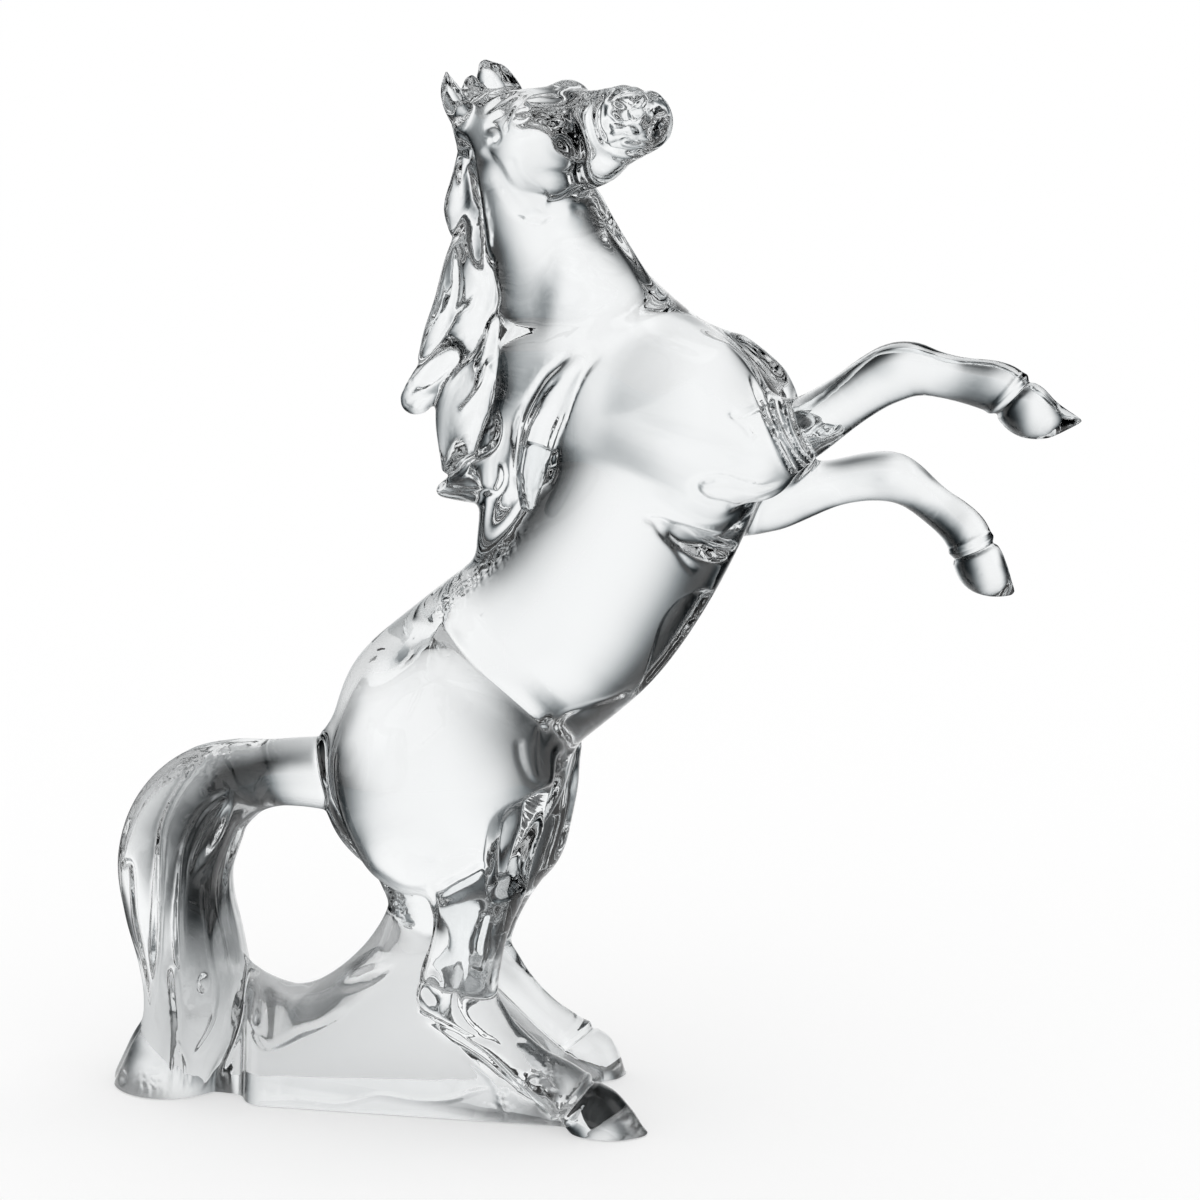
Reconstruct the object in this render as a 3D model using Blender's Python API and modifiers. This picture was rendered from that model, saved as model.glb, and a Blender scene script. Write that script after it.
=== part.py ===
"""A rearing horse of clear crystal, cast in one piece with the wedge of crystal that it stands on.

The horse faces +X, its own left side is +Y, and it stands on the plane Z = 0. Every limb is an oval
carried along a curved line; the ovals fuse in one skin, and the table plane cuts the foot flat.
"""

import math

import bmesh
import bpy
from mathutils import Matrix, Vector

HEIGHT = 0.330  # table to ear tips; rounding the skin takes about a millimetre off them
UNIT = HEIGHT / 330  # the figure's proportions below are counted in this unit

FOOT_HALF_WIDTH = 0.026  # half the width of the wedge under the tail and the hind legs
FOOT_SINK = 0.006  # how far the wedge, hooves and tail run below the table before they are cut
SKIN_VOXEL = 1.4 * UNIT  # cell of the grid that fuses the limbs
SKIN_SMOOTHING = 9  # passes that round the seams between limbs
SKIN_SOFTNESS = 0.5  # how far each pass moves a point toward its neighbours
SKIN_FACES = 0.053  # share of the fused skin's faces that is kept
OVAL_SIDES = 28
FLUTED_SIDES = 132
FLUTE_SHARE = 0.1  # how deep the tail's flutes are, as a share of its thickness
TAIL_FLUTES = 11
TAIL_TWIST = 0.9  # how far the flutes wander round the tail, in radians of their own wave
RINGS_PER_SPAN = 6
FOOT_RINGS_PER_SPAN = 3
DOME_RINGS = 4

# Each station of a limb is (x, y, z, half depth, half width): depth lies in the plane of the figure and
# across the limb's line, width lies sideways.
TORSO = (
    (-1, 0, 106, 22.5, 20),
    (13, 0, 118.5, 32, 28),
    (34, 0, 136, 33, 30),
    (51, 0, 149.5, 33, 31.5),
    (63.5, 0, 162, 33.5, 33),
    (75.5, 0, 180, 33.5, 33),
    (84.5, 0, 199, 34, 31),
    (91, 0, 213, 33, 27),
)
BUTTOCKS = ((2, 0, 106, 24, 20), (2, 0, 94, 20, 18), (10, 0, 81, 16, 15), (14, 0, 69, 14, 14), (16, 0, 58, 12, 13))
NECK = (
    (81, 0, 216, 35, 26),
    (70.5, 0, 232, 35, 24),
    (62.5, 0, 249, 29.5, 20),
    (56.5, 0, 268.5, 23, 17.5),
    (49.5, 0, 286, 19, 15.5),
    (43, 0, 299, 16, 13.5),
    (37, 0, 308, 12.5, 11.5),
)
NEAR_HIND_LEG = (
    (24, -9, 146, 14, 10),
    (21, -14, 136, 25, 16.5),
    (23, -17, 122, 34, 20.5),
    (24.7, -19, 108, 36, 21.5),
    (27, -20.5, 96, 33, 20),
    (31.5, -22.5, 85, 27.5, 17),
    (35, -24.5, 75.5, 18, 14),
    (35, -25.5, 68, 13.5, 11.7),
    (34, -26, 61, 11.9, 10),
    (32.5, -26, 53.5, 11.8, 9.5),
    (30.5, -26, 45.5, 12.6, 9),
    (31, -26, 38.5, 12.3, 8.5),
)
NEAR_CANNON = (
    (24, -26, 40, 7.5, 7.5),
    (33, -26, 35.5, 11, 8.5),
    (43.5, -26.5, 26.5, 8, 7.5),
    (53.3, -27, 18.8, 7.7, 7.5),
    (62.4, -27, 13.5, 8.6, 8.3),
    (68.5, -27, 9.5, 8.6, 8.8),
)
NEAR_HIND_HOOF = (
    (68, -27, 10, 8, 8.8),
    (75, -27, 4.5, 9.7, 10),
    (82.5, -27, 0.5, 7, 9),
    (88, -27, -2, 3.6, 5.5),
)
FAR_HIND_LEG = (
    (24, 9, 146, 14, 10),
    (21, 14, 136, 25, 16.5),
    (23, 17, 120, 34.5, 20.5),
    (25, 19, 103, 37, 21.5),
    (28.5, 20.5, 92, 32, 19),
    (31, 22.5, 80, 24, 16),
    (29.5, 24.5, 70, 17.5, 13.5),
    (27.5, 25.5, 62, 14, 11.5),
    (25, 26, 54, 12.5, 10),
    (22.5, 26, 45, 12.3, 9.3),
    (23.5, 26, 39, 12, 8.7),
)
FAR_CANNON = (
    (16, 26, 42, 7.5, 7.5),
    (25.5, 26, 36.5, 11, 8.5),
    (35.5, 26, 27.5, 8, 7.5),
    (44.5, 26, 18.8, 7.6, 7.5),
    (52, 27, 12.8, 8.2, 8.2),
    (57, 28, 9.2, 8.4, 8.6),
)
FAR_HIND_HOOF = (
    (56.5, 28, 9.6, 8, 8.6),
    (61.5, 29, 5, 9, 9.5),
    (66.5, 30, 1, 6.2, 8.5),
    (69.5, 31, -1.5, 3.2, 5),
)
NEAR_SHOULDER = (
    (68, -12, 228, 18, 10),
    (82, -16, 225, 27, 15),
    (98, -18, 222, 30, 17),
    (112, -19, 218, 26, 16),
    (123, -21, 216, 17, 14),
)
NEAR_FORELEG = (
    (120, -20, 213, 13, 12),
    (131, -22, 219.5, 11.5, 11),
    (139.5, -23, 223.8, 9.2, 9.5),
    (149.8, -24, 231, 8.2, 8.5),
    (158.2, -25, 237, 8.5, 8.3),
    (164.6, -25, 240.3, 8.9, 8.6),
    (170, -25, 241.2, 8.3, 8.2),
    (176, -25, 240.1, 7, 7),
    (184, -25, 238.5, 6.8, 6.8),
    (191.9, -25, 237.2, 7.7, 7.6),
    (197, -25, 235.6, 7.9, 7.8),
    (200, -25, 233.2, 7.2, 7.4),
)
NEAR_FORE_HOOF = (
    (198.5, -25, 234, 7.2, 7.4),
    (203.8, -25, 230, 8.4, 8.3),
    (209.4, -25, 227.8, 6.7, 7),
    (215.6, -25, 227.4, 3.2, 4),
    (219.6, -25, 227.3, 1.2, 2),
)
FAR_SHOULDER = (
    (68, 12, 226, 18, 10),
    (82, 16, 220, 27, 15),
    (96, 18, 213, 29, 17),
    (108, 20, 205, 22.5, 15),
    (116, 22, 197, 13, 12),
)
FAR_FORELEG = (
    (112, 21, 191.5, 11, 11),
    (121.2, 22, 193, 9.9, 10.5),
    (130.9, 24, 196, 8.7, 9),
    (140.3, 25, 198.5, 7.4, 8),
    (150.1, 25, 200.6, 7.7, 8),
    (157.2, 25, 200.8, 8, 8.3),
    (162.2, 25, 198.8, 7.3, 7.8),
    (166.5, 25, 195.8, 6.5, 7),
    (171.3, 25, 192, 6.3, 6.6),
    (176.5, 25, 188.2, 6.8, 7),
    (180.6, 25, 184, 7.3, 7.5),
    (183, 25, 179, 7.1, 7.4),
)
FAR_FORE_HOOF = (
    (181.8, 25, 181, 7, 7.4),
    (185.8, 25, 173.2, 8.2, 8.2),
    (190.8, 25, 168.6, 5.6, 6.6),
    (195, 25, 165.9, 1.8, 3),
)
TAIL = (
    (-16, 0, 103.5, 12, 12),
    (-27.4, 0, 103.4, 11, 11.5),
    (-37, 0, 102.5, 10.8, 12),
    (-47, 0, 100.3, 13, 14.5),
    (-57.5, 0, 94.5, 16.6, 17),
    (-65.3, 0, 84.5, 18.7, 19.5),
    (-69.6, 0, 72, 18.7, 21),
    (-68.9, 0, 59, 17.8, 22),
    (-65.3, 0, 44, 17.2, 22.5),
    (-63.3, 0, 30, 17, 23.5),
    (-64.3, 0, 16, 17.2, 25),
    (-68.3, 0, 5, 18.8, 26),
    (-71, 0, -4, 20.5, 26.5),
)
MANE_LOCKS = (
    ((31, -2, 311, 2.2, 6), (29.5, -3, 303, 2.8, 7), (28.5, -4, 294, 3.2, 8), (26.2, -5, 284, 3.8, 7), (25.2, -5, 277, 1.5, 3)),
    ((36, 0, 300, 6, 9), (36, 0, 282, 7.5, 12), (34, 0, 262, 8, 13), (32, 0, 245, 9, 12)),
    ((30, -5, 279, 3, 6), (28.5, -6, 268, 5.4, 8), (26, -7, 255, 6, 9), (21, -7, 245, 4.8, 8), (16, -6, 238, 2, 4)),
    ((33, -5, 250, 5, 9), (26, -7, 240, 5.6, 9), (19, -8, 232.5, 5.8, 9), (14, -8, 225.5, 5, 8)),
    ((40, 0, 250, 8, 13), (33, -2, 236, 8.5, 15), (29, -4, 222, 9.5, 15), (26, -5, 210, 6, 11), (23, -5, 204, 2, 5)),
    ((46, 0, 214, 14, 20), (39, 0, 203, 10, 17), (30, 0, 199, 7, 13), (20, 0, 196, 2.5, 6)),
    ((52, 0, 226, 16, 20), (46, 0, 208, 13, 22), (42, 0, 194, 9, 20), (36, 0, 180, 5, 14)),
)
# The leaf of mane that lies over the seam behind each shoulder.
SHOULDER_LEAF = (
    (70, -20, 241, 4, 6),
    (62, -25, 231, 6, 7),
    (57.5, -27.5, 219, 6.5, 7),
    (55.5, -28, 206, 4.5, 6),
    (56.5, -27, 199, 2, 3),
)
# The wedge: (x, height of its ridge, height of its two upper edges).
FOOT_STATIONS = (
    (-76, 18, 10),
    (-62, 42, 26),
    (-50, 44, 27),
    (-42, 38.5, 25),
    (-36, 35, 20.5),
    (-29, 33.5, 18.5),
    (-22, 35.5, 22),
    (-14, 41, 27),
    (-7, 48, 31),
    (-1, 57, 35),
    (4, 68, 38),
    (11, 74, 40),
    (20, 60, 37),
    (29, 42, 31),
    (41, 26, 20),
    (54, 12, 10),
    (66, 4, 3),
)

# The head has its own frame: x to the nose, y to its left side, z to the crown, from the nape.
NAPE = (34, 0, 306)
HEAD_TURN = math.radians(28)  # to the horse's right
HEAD_LIFT = math.radians(7)
HEAD_ROLL = math.radians(18)  # left eye above the right one
SKULL = (
    (-2.5, 0, 2, 8, 9),
    (6, 0, 1, 12.5, 11.5),
    (17, 0, -1, 14.3, 12.5),
    (28, 0, -1, 14, 12),
    (39, 0, 0, 11.5, 9),
    (48, 0, 0, 10.6, 8),
    (56, 0, 0, 11, 9.7),
    (62.5, 0, -0.5, 9.8, 9.5),
)
JOWL = ((13, 0, -3, 9, 11), (20, 0, -9, 11.5, 13), (27, 0, -13.5, 9.5, 11.5))
LOWER_JAW = (
    (22, 0, -14, 7.5, 8),
    (33, 0, -14.2, 6.5, 6.5),
    (43, 0, -12.5, 6, 5.5),
    (50, 0, -9, 5.5, 6),
    (57, 0, -7, 5, 6),
)
BROW = ((24, 6.8, 7.4, 3.4, 4), (31, 7.2, 8.6, 4.5, 4.5), (37, 6, 7.8, 3.4, 3.6))
FORELOCK = ((-3, 0, 11, 7, 6.5), (0, 0, 16.5, 6, 5.5), (2.5, 0, 20, 3, 3.5))
NEAR_EAR = ((2.4, -8, 9, 4.8, 4), (2.2, -8.6, 14, 4.6, 3.7), (3, -9, 18.8, 3.3, 2.7), (3.8, -9, 21.8, 0.9, 0.9))
FAR_EAR = ((5, 8, 9, 7, 4), (4.4, 8.6, 14, 6.2, 3.8), (4, 9, 18, 3.6, 2.8), (4.2, 9, 20.6, 0.9, 0.9))

CRYSTAL_COLOR = (0.97, 0.98, 0.99, 1.0)
CRYSTAL_IOR = 1.545


def clear_scene():
    for obj in list(bpy.data.objects):
        bpy.data.objects.remove(obj, do_unlink=True)


def make_collection(name):
    collection = bpy.data.collections.new(name)
    bpy.context.scene.collection.children.link(collection)
    return collection


def crystal_material():
    """Clear polished crystal: all its light is transmitted or mirrored."""
    material = bpy.data.materials.new("crystal")
    material.use_nodes = True
    shader = material.node_tree.nodes["Principled BSDF"]
    shader.inputs["Base Color"].default_value = CRYSTAL_COLOR
    shader.inputs["Roughness"].default_value = 0.0
    shader.inputs["Metallic"].default_value = 0.0
    shader.inputs["IOR"].default_value = CRYSTAL_IOR
    shader.inputs["Transmission Weight"].default_value = 1.0
    return material


def eased(before, start, end, after, share):
    """The smooth (Catmull-Rom) curve through start and end, at a share of the way between them."""
    return 0.5 * (
        2 * start
        + (end - before) * share
        + (2 * before - 5 * start + 4 * end - after) * share**2
        + (3 * start - before - 3 * end + after) * share**3
    )


def smooth_stations(stations, rings_per_span):
    """The stations with more of them in between, on a smooth curve through all of their numbers."""
    last = len(stations) - 1
    found = []
    for span in range(last):
        four = [stations[min(max(span + step, 0), last)] for step in (-1, 0, 1, 2)]
        for ring in range(rings_per_span):
            share = ring / rings_per_span
            found.append([eased(*values, share) for values in zip(*four)])
    found.append(list(stations[last]))
    return found


def add_tube(mesh, rings):
    """Joins the rings of points with faces and closes both ends."""
    rows = [[mesh.verts.new(point) for point in ring] for ring in rings]
    sides = len(rows[0])
    for row, following in zip(rows, rows[1:]):
        for side in range(sides):
            after = (side + 1) % sides
            mesh.faces.new((row[side], row[after], following[after], following[side]))
    mesh.faces.new(reversed(rows[0]))
    mesh.faces.new(rows[-1])


def oval_ring(centre, along, depth, width, flutes, twist):
    """Points round an oval across the line's direction, its width kept level, pressed in along each flute."""
    level = Vector((0, 1, 0))
    sideways = (level - along * level.dot(along)).normalized()
    across = along.cross(sideways)
    sides = FLUTED_SIDES if flutes else OVAL_SIDES
    ring = []
    for side in range(sides):
        turn = 2 * math.pi * side / sides
        crest = abs(math.cos(flutes * turn / 2 + twist))
        reach = 1 - FLUTE_SHARE * (1 - crest)
        ring.append(centre + (across * depth * math.cos(turn) + sideways * width * math.sin(turn)) * reach)
    return ring


def add_limb(mesh, stations, place=Matrix.Identity(4), flutes=0, twist=0.0):
    """An oval carried along a smooth line through the stations, with a dome at each end."""
    rows = smooth_stations([[value * UNIT for value in station] for station in stations], RINGS_PER_SPAN)
    centres = [Vector(row[:3]) for row in rows]
    last = len(rows) - 1
    sections = []
    for spot, (_, _, _, depth, width) in enumerate(rows):
        along = (centres[min(spot + 1, last)] - centres[max(spot - 1, 0)]).normalized()
        dome = [math.pi / 2 * step / (DOME_RINGS + 1) for step in range(1, DOME_RINGS + 1)]
        tilts = [0.0]
        if spot == 0:
            tilts = [-tilt for tilt in reversed(dome)] + tilts
        if spot == last:
            tilts = tilts + dome
        for tilt in tilts:
            centre = centres[spot] + along * min(depth, width) * math.sin(tilt)
            sections.append((centre, along, depth * math.cos(tilt), width * math.cos(tilt), spot / last))
    rings = [oval_ring(*section[:4], flutes, twist * section[4]) for section in sections]
    add_tube(mesh, [[place @ point for point in ring] for ring in rings])


def mirrored(stations):
    return tuple((x, -y, z, depth, width) for x, y, z, depth, width in stations)


def foot_ring(x, ridge, turn, half_width):
    """A cross-section of the wedge: upright sides to the turn, then a rounded ridge."""
    arc = [math.pi * step / (OVAL_SIDES - 2) for step in range(OVAL_SIDES - 1)]
    over = [Vector((x, -half_width * math.cos(t), turn + (ridge - turn) * math.sin(t) ** 2)) for t in arc]
    return [Vector((x, -half_width, -FOOT_SINK)), *over, Vector((x, half_width, -FOOT_SINK))]


def add_foot(mesh):
    """The wedge of crystal from the tail to the hind hooves."""
    rows = smooth_stations([[value * UNIT for value in station] for station in FOOT_STATIONS], FOOT_RINGS_PER_SPAN)
    add_tube(mesh, [foot_ring(x, ridge, turn, FOOT_HALF_WIDTH) for x, ridge, turn in rows])


def table_cutter(collection):
    """Everything below the table, as a cutter for the flat underside."""
    mesh = bpy.data.meshes.new("below_table")
    shape = bmesh.new()
    bmesh.ops.create_cube(shape, size=2 * HEIGHT)
    bmesh.ops.translate(shape, vec=(0, 0, -HEIGHT), verts=shape.verts)
    shape.to_mesh(mesh)
    shape.free()
    cutter = bpy.data.objects.new("below_table", mesh)
    cutter.hide_render = True
    cutter.display_type = "WIRE"
    collection.objects.link(cutter)
    return cutter


def fuse(obj, cutter):
    """Fuses the limbs in one skin, rounds its seams, thins its faces and cuts the foot flat."""
    skin = obj.modifiers.new("one_skin", "REMESH")
    skin.mode = "VOXEL"
    skin.voxel_size = SKIN_VOXEL
    skin.adaptivity = 0.0
    rounding = obj.modifiers.new("soft_seams", "SMOOTH")
    rounding.factor = SKIN_SOFTNESS
    rounding.iterations = SKIN_SMOOTHING
    fewer = obj.modifiers.new("fewer_faces", "DECIMATE")
    fewer.ratio = SKIN_FACES
    fewer.use_collapse_triangulate = True
    flat = obj.modifiers.new("flat_underside", "BOOLEAN")
    flat.operation = "DIFFERENCE"
    flat.solver = "EXACT"
    flat.object = cutter


def head_place():
    """The head's frame: rolled, then lifted, then turned, and set at the nape."""
    turned = Matrix.Rotation(-HEAD_TURN, 4, "Z") @ Matrix.Rotation(-HEAD_LIFT, 4, "Y")
    return Matrix.Translation(Vector(NAPE) * UNIT) @ turned @ Matrix.Rotation(HEAD_ROLL, 4, "X")


def make_horse(collection, cutter):
    shape = bmesh.new()
    limbs = [
        TORSO, BUTTOCKS, NECK,
        NEAR_HIND_LEG, NEAR_CANNON, NEAR_HIND_HOOF,
        FAR_HIND_LEG, FAR_CANNON, FAR_HIND_HOOF,
        NEAR_SHOULDER, NEAR_FORELEG, NEAR_FORE_HOOF,
        FAR_SHOULDER, FAR_FORELEG, FAR_FORE_HOOF,
        *MANE_LOCKS, SHOULDER_LEAF, mirrored(SHOULDER_LEAF),
    ]
    for stations in (SKULL, JOWL, LOWER_JAW, BROW, mirrored(BROW), FORELOCK, NEAR_EAR, FAR_EAR):
        add_limb(shape, stations, head_place())
    for stations in limbs:
        add_limb(shape, stations)
    add_limb(shape, TAIL, flutes=TAIL_FLUTES, twist=TAIL_TWIST)
    add_foot(shape)
    bmesh.ops.recalc_face_normals(shape, faces=shape.faces)
    mesh = bpy.data.meshes.new("crystal_horse")
    shape.to_mesh(mesh)
    shape.free()
    horse = bpy.data.objects.new("crystal_horse", mesh)
    collection.objects.link(horse)
    horse.data.materials.append(crystal_material())
    horse.data.shade_smooth()
    fuse(horse, cutter)
    return horse


def main():
    clear_scene()
    cutters = make_collection("cutters")
    figurine = make_collection("crystal_horse_figurine")
    make_horse(figurine, table_cutter(cutters))


main()
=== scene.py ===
# %% [markdown]
# A rearing horse of clear crystal, about a foot tall, cast in one piece with the wedge of crystal that
# carries its tail and hind legs. The frame holds the same horse as a plain faceted solid. This lesson
# makes its finished skin, gives it the material of clear crystal and lights it on a pale table.

# %% Load the fixed frame
import math
from contextlib import contextmanager

import bmesh
import bpy
import numpy as np
from mathutils import Matrix, Vector


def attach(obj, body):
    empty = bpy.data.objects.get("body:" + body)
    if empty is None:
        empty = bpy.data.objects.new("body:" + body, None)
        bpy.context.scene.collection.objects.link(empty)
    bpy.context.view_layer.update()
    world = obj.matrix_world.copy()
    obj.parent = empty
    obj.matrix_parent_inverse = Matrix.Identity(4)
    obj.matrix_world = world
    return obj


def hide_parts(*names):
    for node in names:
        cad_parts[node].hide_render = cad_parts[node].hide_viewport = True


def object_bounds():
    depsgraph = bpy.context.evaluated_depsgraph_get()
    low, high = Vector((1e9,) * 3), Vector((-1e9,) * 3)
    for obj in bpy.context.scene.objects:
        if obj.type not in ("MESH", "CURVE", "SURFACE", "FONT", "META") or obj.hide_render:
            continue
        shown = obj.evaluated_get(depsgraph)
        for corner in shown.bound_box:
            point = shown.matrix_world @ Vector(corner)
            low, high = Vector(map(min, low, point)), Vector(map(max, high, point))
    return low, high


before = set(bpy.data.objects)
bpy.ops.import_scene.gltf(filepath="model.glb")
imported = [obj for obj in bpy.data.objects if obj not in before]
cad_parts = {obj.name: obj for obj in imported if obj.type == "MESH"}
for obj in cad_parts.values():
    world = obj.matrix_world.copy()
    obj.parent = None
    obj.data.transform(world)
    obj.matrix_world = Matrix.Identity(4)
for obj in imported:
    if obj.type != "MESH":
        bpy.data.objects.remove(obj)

cad_box = [list(corner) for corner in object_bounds()]
print("solid horse from", cad_box[0], "to", cad_box[1])

# %% [markdown]
# Sizes. The horse is drawn in a unit of its own, about one 330th of its height and close to a millimetre, so
# that every place below can be read as millimetres. The unit comes from the solid's box.

# %% The unit
SOLID_TALL = 328.7  # the solid's height in units
UNIT = (cad_box[1][2] - cad_box[0][2]) / SOLID_TALL
print("one unit is", round(UNIT * 1000, 4), "mm")

# %% [markdown]
# A limb of a cast horse has no straight lines: it swells and thins along a bending middle line. So each
# limb is a table of a few stations, and everything between them is worked out. A station is (x, y, z,
# half depth, half width): depth lies in the plane of the figure, width lies sideways.

# %% Rows between the stations
ROWS_PER_SPAN = 10


def smooth_rows(stations, per_span=ROWS_PER_SPAN):
    """Every column follows the Catmull-Rom cubic: it passes through each station, and its slope there is
    half the step from the station before to the station after."""
    table = np.array(stations, float)
    padded = np.vstack([table[:1], table, table[-1:]])
    spans = len(table) - 1
    share = (np.arange(per_span) / per_span)[None, :, None]
    before, start, end, after = (padded[k:k + spans, None, :] for k in range(4))
    rows = 0.5 * (
        2 * start
        + (end - before) * share
        + (2 * before - 5 * start + 4 * end - after) * share**2
        + (3 * start - before - 3 * end + after) * share**3
    )
    return np.vstack([rows.reshape(-1, table.shape[1]), table[-1:]])


def unit_length(vectors):
    """Each vector divided by its own length."""
    return vectors / np.maximum(np.linalg.norm(vectors, axis=-1, keepdims=True), 1e-12)


# %% [markdown]
# The surface of a limb is a function of two parameters. One runs along the middle line, the other round
# the oval. At both ends the oval shrinks over a dome, like half of an egg, so that the limb is closed.

# %% A limb as a surface of two parameters
SIDES = 48
DOME_ROWS = 7
LEVEL = np.array([0.0, 1.0, 0.0])


def limb_frame(stations, per_span=ROWS_PER_SPAN):
    """For each row its centre, half depth and half width, and the directions along, sideways and across.
    Sideways is the level direction square to the line, and across stands on both."""
    rows = smooth_rows(stations, per_span)
    along = unit_length(np.gradient(rows[:, :3], axis=0))
    sideways = unit_length(LEVEL - along * (along @ LEVEL)[:, None])
    return rows[:, :3], rows[:, 3], rows[:, 4], along, sideways, np.cross(along, sideways)


def limb_surface(stations, sides=SIDES, flutes=None):
    """Point (row, turn) = centre(row) + across * depth(row) * cos(turn) + sideways * width(row) * sin(turn).
    In a dome the row moves on by the sine of its tilt, and the oval shrinks by the cosine. Flutes is a
    function (share, turn) that scales the oval's reach."""
    centres, depth, width, along, sideways, across = limb_frame(stations)
    last = len(centres) - 1
    tilt = math.pi / 2 * np.arange(1, DOME_ROWS + 1) / (DOME_ROWS + 0.5)
    spot = np.concatenate([np.zeros(DOME_ROWS, int), np.arange(last + 1), np.full(DOME_ROWS, last)])
    lean = np.concatenate([-tilt[::-1], np.zeros(last + 1), tilt])
    reach = np.minimum(depth, width)[spot] * np.sin(lean)
    turn = 2 * math.pi * np.arange(sides) / sides
    deep = (depth[spot] * np.cos(lean))[:, None] * np.cos(turn)
    wide = (width[spot] * np.cos(lean))[:, None] * np.sin(turn)
    if flutes is not None:
        scale = flutes((spot / last)[:, None], turn[None, :])
        deep, wide = deep * scale, wide * scale
    middle = (centres[spot] + along[spot] * reach[:, None])[:, None, :]
    return middle + across[spot, None, :] * deep[..., None] + sideways[spot, None, :] * wide[..., None]


def mirrored(stations):
    """The same limb on the other side of the plane Y = 0."""
    return [(x, -y, z, depth, width) for x, y, z, depth, width in stations]


print("a test limb has", limb_surface([(0, 0, 0, 1, 1), (0, 0, 5, 1, 1)]).shape[:2], "rows and sides")

# %% [markdown]
# The trunk rises at about 50 degrees from the haunches to the chest, and the neck goes on from it to the
# nape. Each is a barrel: wide in the middle of the belly, narrower toward the throat.

# %% The trunk and the neck
TORSO = (
    (-1, 0, 106, 22.5, 20), (13, 0, 118.5, 32, 28), (34, 0, 136, 33, 30), (51, 0, 149.5, 33, 31.5),
    (63.5, 0, 162, 33.5, 33), (75.5, 0, 180, 33.5, 33), (84.5, 0, 199, 34, 31), (91, 0, 213, 33, 27),
)
BUTTOCKS = (
    (2, 0, 106, 24, 20), (2, 0, 94, 20, 18), (10, 0, 81, 16, 15), (14, 0, 69, 14, 14), (16, 0, 58, 12, 13),
)
NECK = (
    (81, 0, 216, 35, 26), (70.5, 0, 232, 35, 24), (62.5, 0, 249, 29.5, 20), (56.5, 0, 268.5, 23, 17.5),
    (49.5, 0, 286, 19, 15.5), (43, 0, 299, 16, 13.5), (37, 0, 308, 12.5, 11.5),
)

# %% [markdown]
# Each hind leg has three runs: the thigh and gaskin down to the hock, the cannon bone forward to the
# fetlock, and the hoof. The two legs stand one a little before the other, so they have tables of their own.

# %% The hind legs
NEAR_HIND_LEG = (
    (24, -9, 146, 14, 10), (21, -14, 136, 25, 16.5), (23, -17, 122, 34, 20.5), (24.7, -19, 108, 36, 21.5),
    (27, -20.5, 96, 33, 20), (31.5, -22.5, 85, 27.5, 17), (35, -24.5, 75.5, 18, 14),
    (35, -25.5, 68, 13.5, 11.7), (34, -26, 61, 11.9, 10), (32.5, -26, 53.5, 11.8, 9.5),
    (30.5, -26, 45.5, 12.6, 9), (31, -26, 38.5, 12.3, 8.5),
)
NEAR_CANNON = (
    (24, -26, 40, 7.5, 7.5), (33, -26, 35.5, 11, 8.5), (43.5, -26.5, 26.5, 8, 7.5),
    (53.3, -27, 18.8, 7.7, 7.5), (62.4, -27, 13.5, 8.6, 8.3), (68.5, -27, 9.5, 8.6, 8.8),
)
NEAR_HIND_HOOF = (
    (68, -27, 10, 8, 8.8), (75, -27, 4.5, 9.7, 10), (82.5, -27, 0.5, 7, 9), (88, -27, -2, 3.6, 5.5),
)
FAR_HIND_LEG = (
    (24, 9, 146, 14, 10), (21, 14, 136, 25, 16.5), (23, 17, 120, 34.5, 20.5), (25, 19, 103, 37, 21.5),
    (28.5, 20.5, 92, 32, 19), (31, 22.5, 80, 24, 16), (29.5, 24.5, 70, 17.5, 13.5),
    (27.5, 25.5, 62, 14, 11.5), (25, 26, 54, 12.5, 10), (22.5, 26, 45, 12.3, 9.3), (23.5, 26, 39, 12, 8.7),
)
FAR_CANNON = (
    (16, 26, 42, 7.5, 7.5), (25.5, 26, 36.5, 11, 8.5), (35.5, 26, 27.5, 8, 7.5), (44.5, 26, 18.8, 7.6, 7.5),
    (52, 27, 12.8, 8.2, 8.2), (57, 28, 9.2, 8.4, 8.6),
)
FAR_HIND_HOOF = (
    (56.5, 28, 9.6, 8, 8.6), (61.5, 29, 5, 9, 9.5), (66.5, 30, 1, 6.2, 8.5), (69.5, 31, -1.5, 3.2, 5),
)

# %% [markdown]
# The forelegs strike out: the near one above, almost level, and the far one below it, bent at the knee.
# A shoulder muscle lies over the root of each.

# %% The forelegs
NEAR_SHOULDER = (
    (68, -12, 228, 18, 10), (82, -16, 225, 27, 15), (98, -18, 222, 30, 17), (112, -19, 218, 26, 16),
    (123, -21, 216, 17, 14),
)
NEAR_FORELEG = (
    (120, -20, 213, 13, 12), (131, -22, 219.5, 11.5, 11), (139.5, -23, 223.8, 9.2, 9.5),
    (149.8, -24, 231, 8.2, 8.5), (158.2, -25, 237, 8.5, 8.3), (164.6, -25, 240.3, 8.9, 8.6),
    (170, -25, 241.2, 8.3, 8.2), (176, -25, 240.1, 7, 7), (184, -25, 238.5, 6.8, 6.8),
    (191.9, -25, 237.2, 7.7, 7.6), (197, -25, 235.6, 7.9, 7.8), (200, -25, 233.2, 7.2, 7.4),
)
NEAR_FORE_HOOF = (
    (198.5, -25, 234, 7.2, 7.4), (203.8, -25, 230, 8.4, 8.3), (209.4, -25, 227.8, 6.7, 7),
    (215.6, -25, 227.4, 3.2, 4), (219.6, -25, 227.3, 1.2, 2),
)
FAR_SHOULDER = (
    (38, 7, 236, 12, 10), (47, 12, 233, 17, 12), (57, 14.5, 230, 20, 13), (69, 17, 228, 23, 14.5),
    (82, 17.5, 224, 28, 15.5), (97, 18, 218, 31, 18), (110, 19, 212, 27, 16.5), (119, 20.5, 206, 18, 13.5),
)
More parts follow.
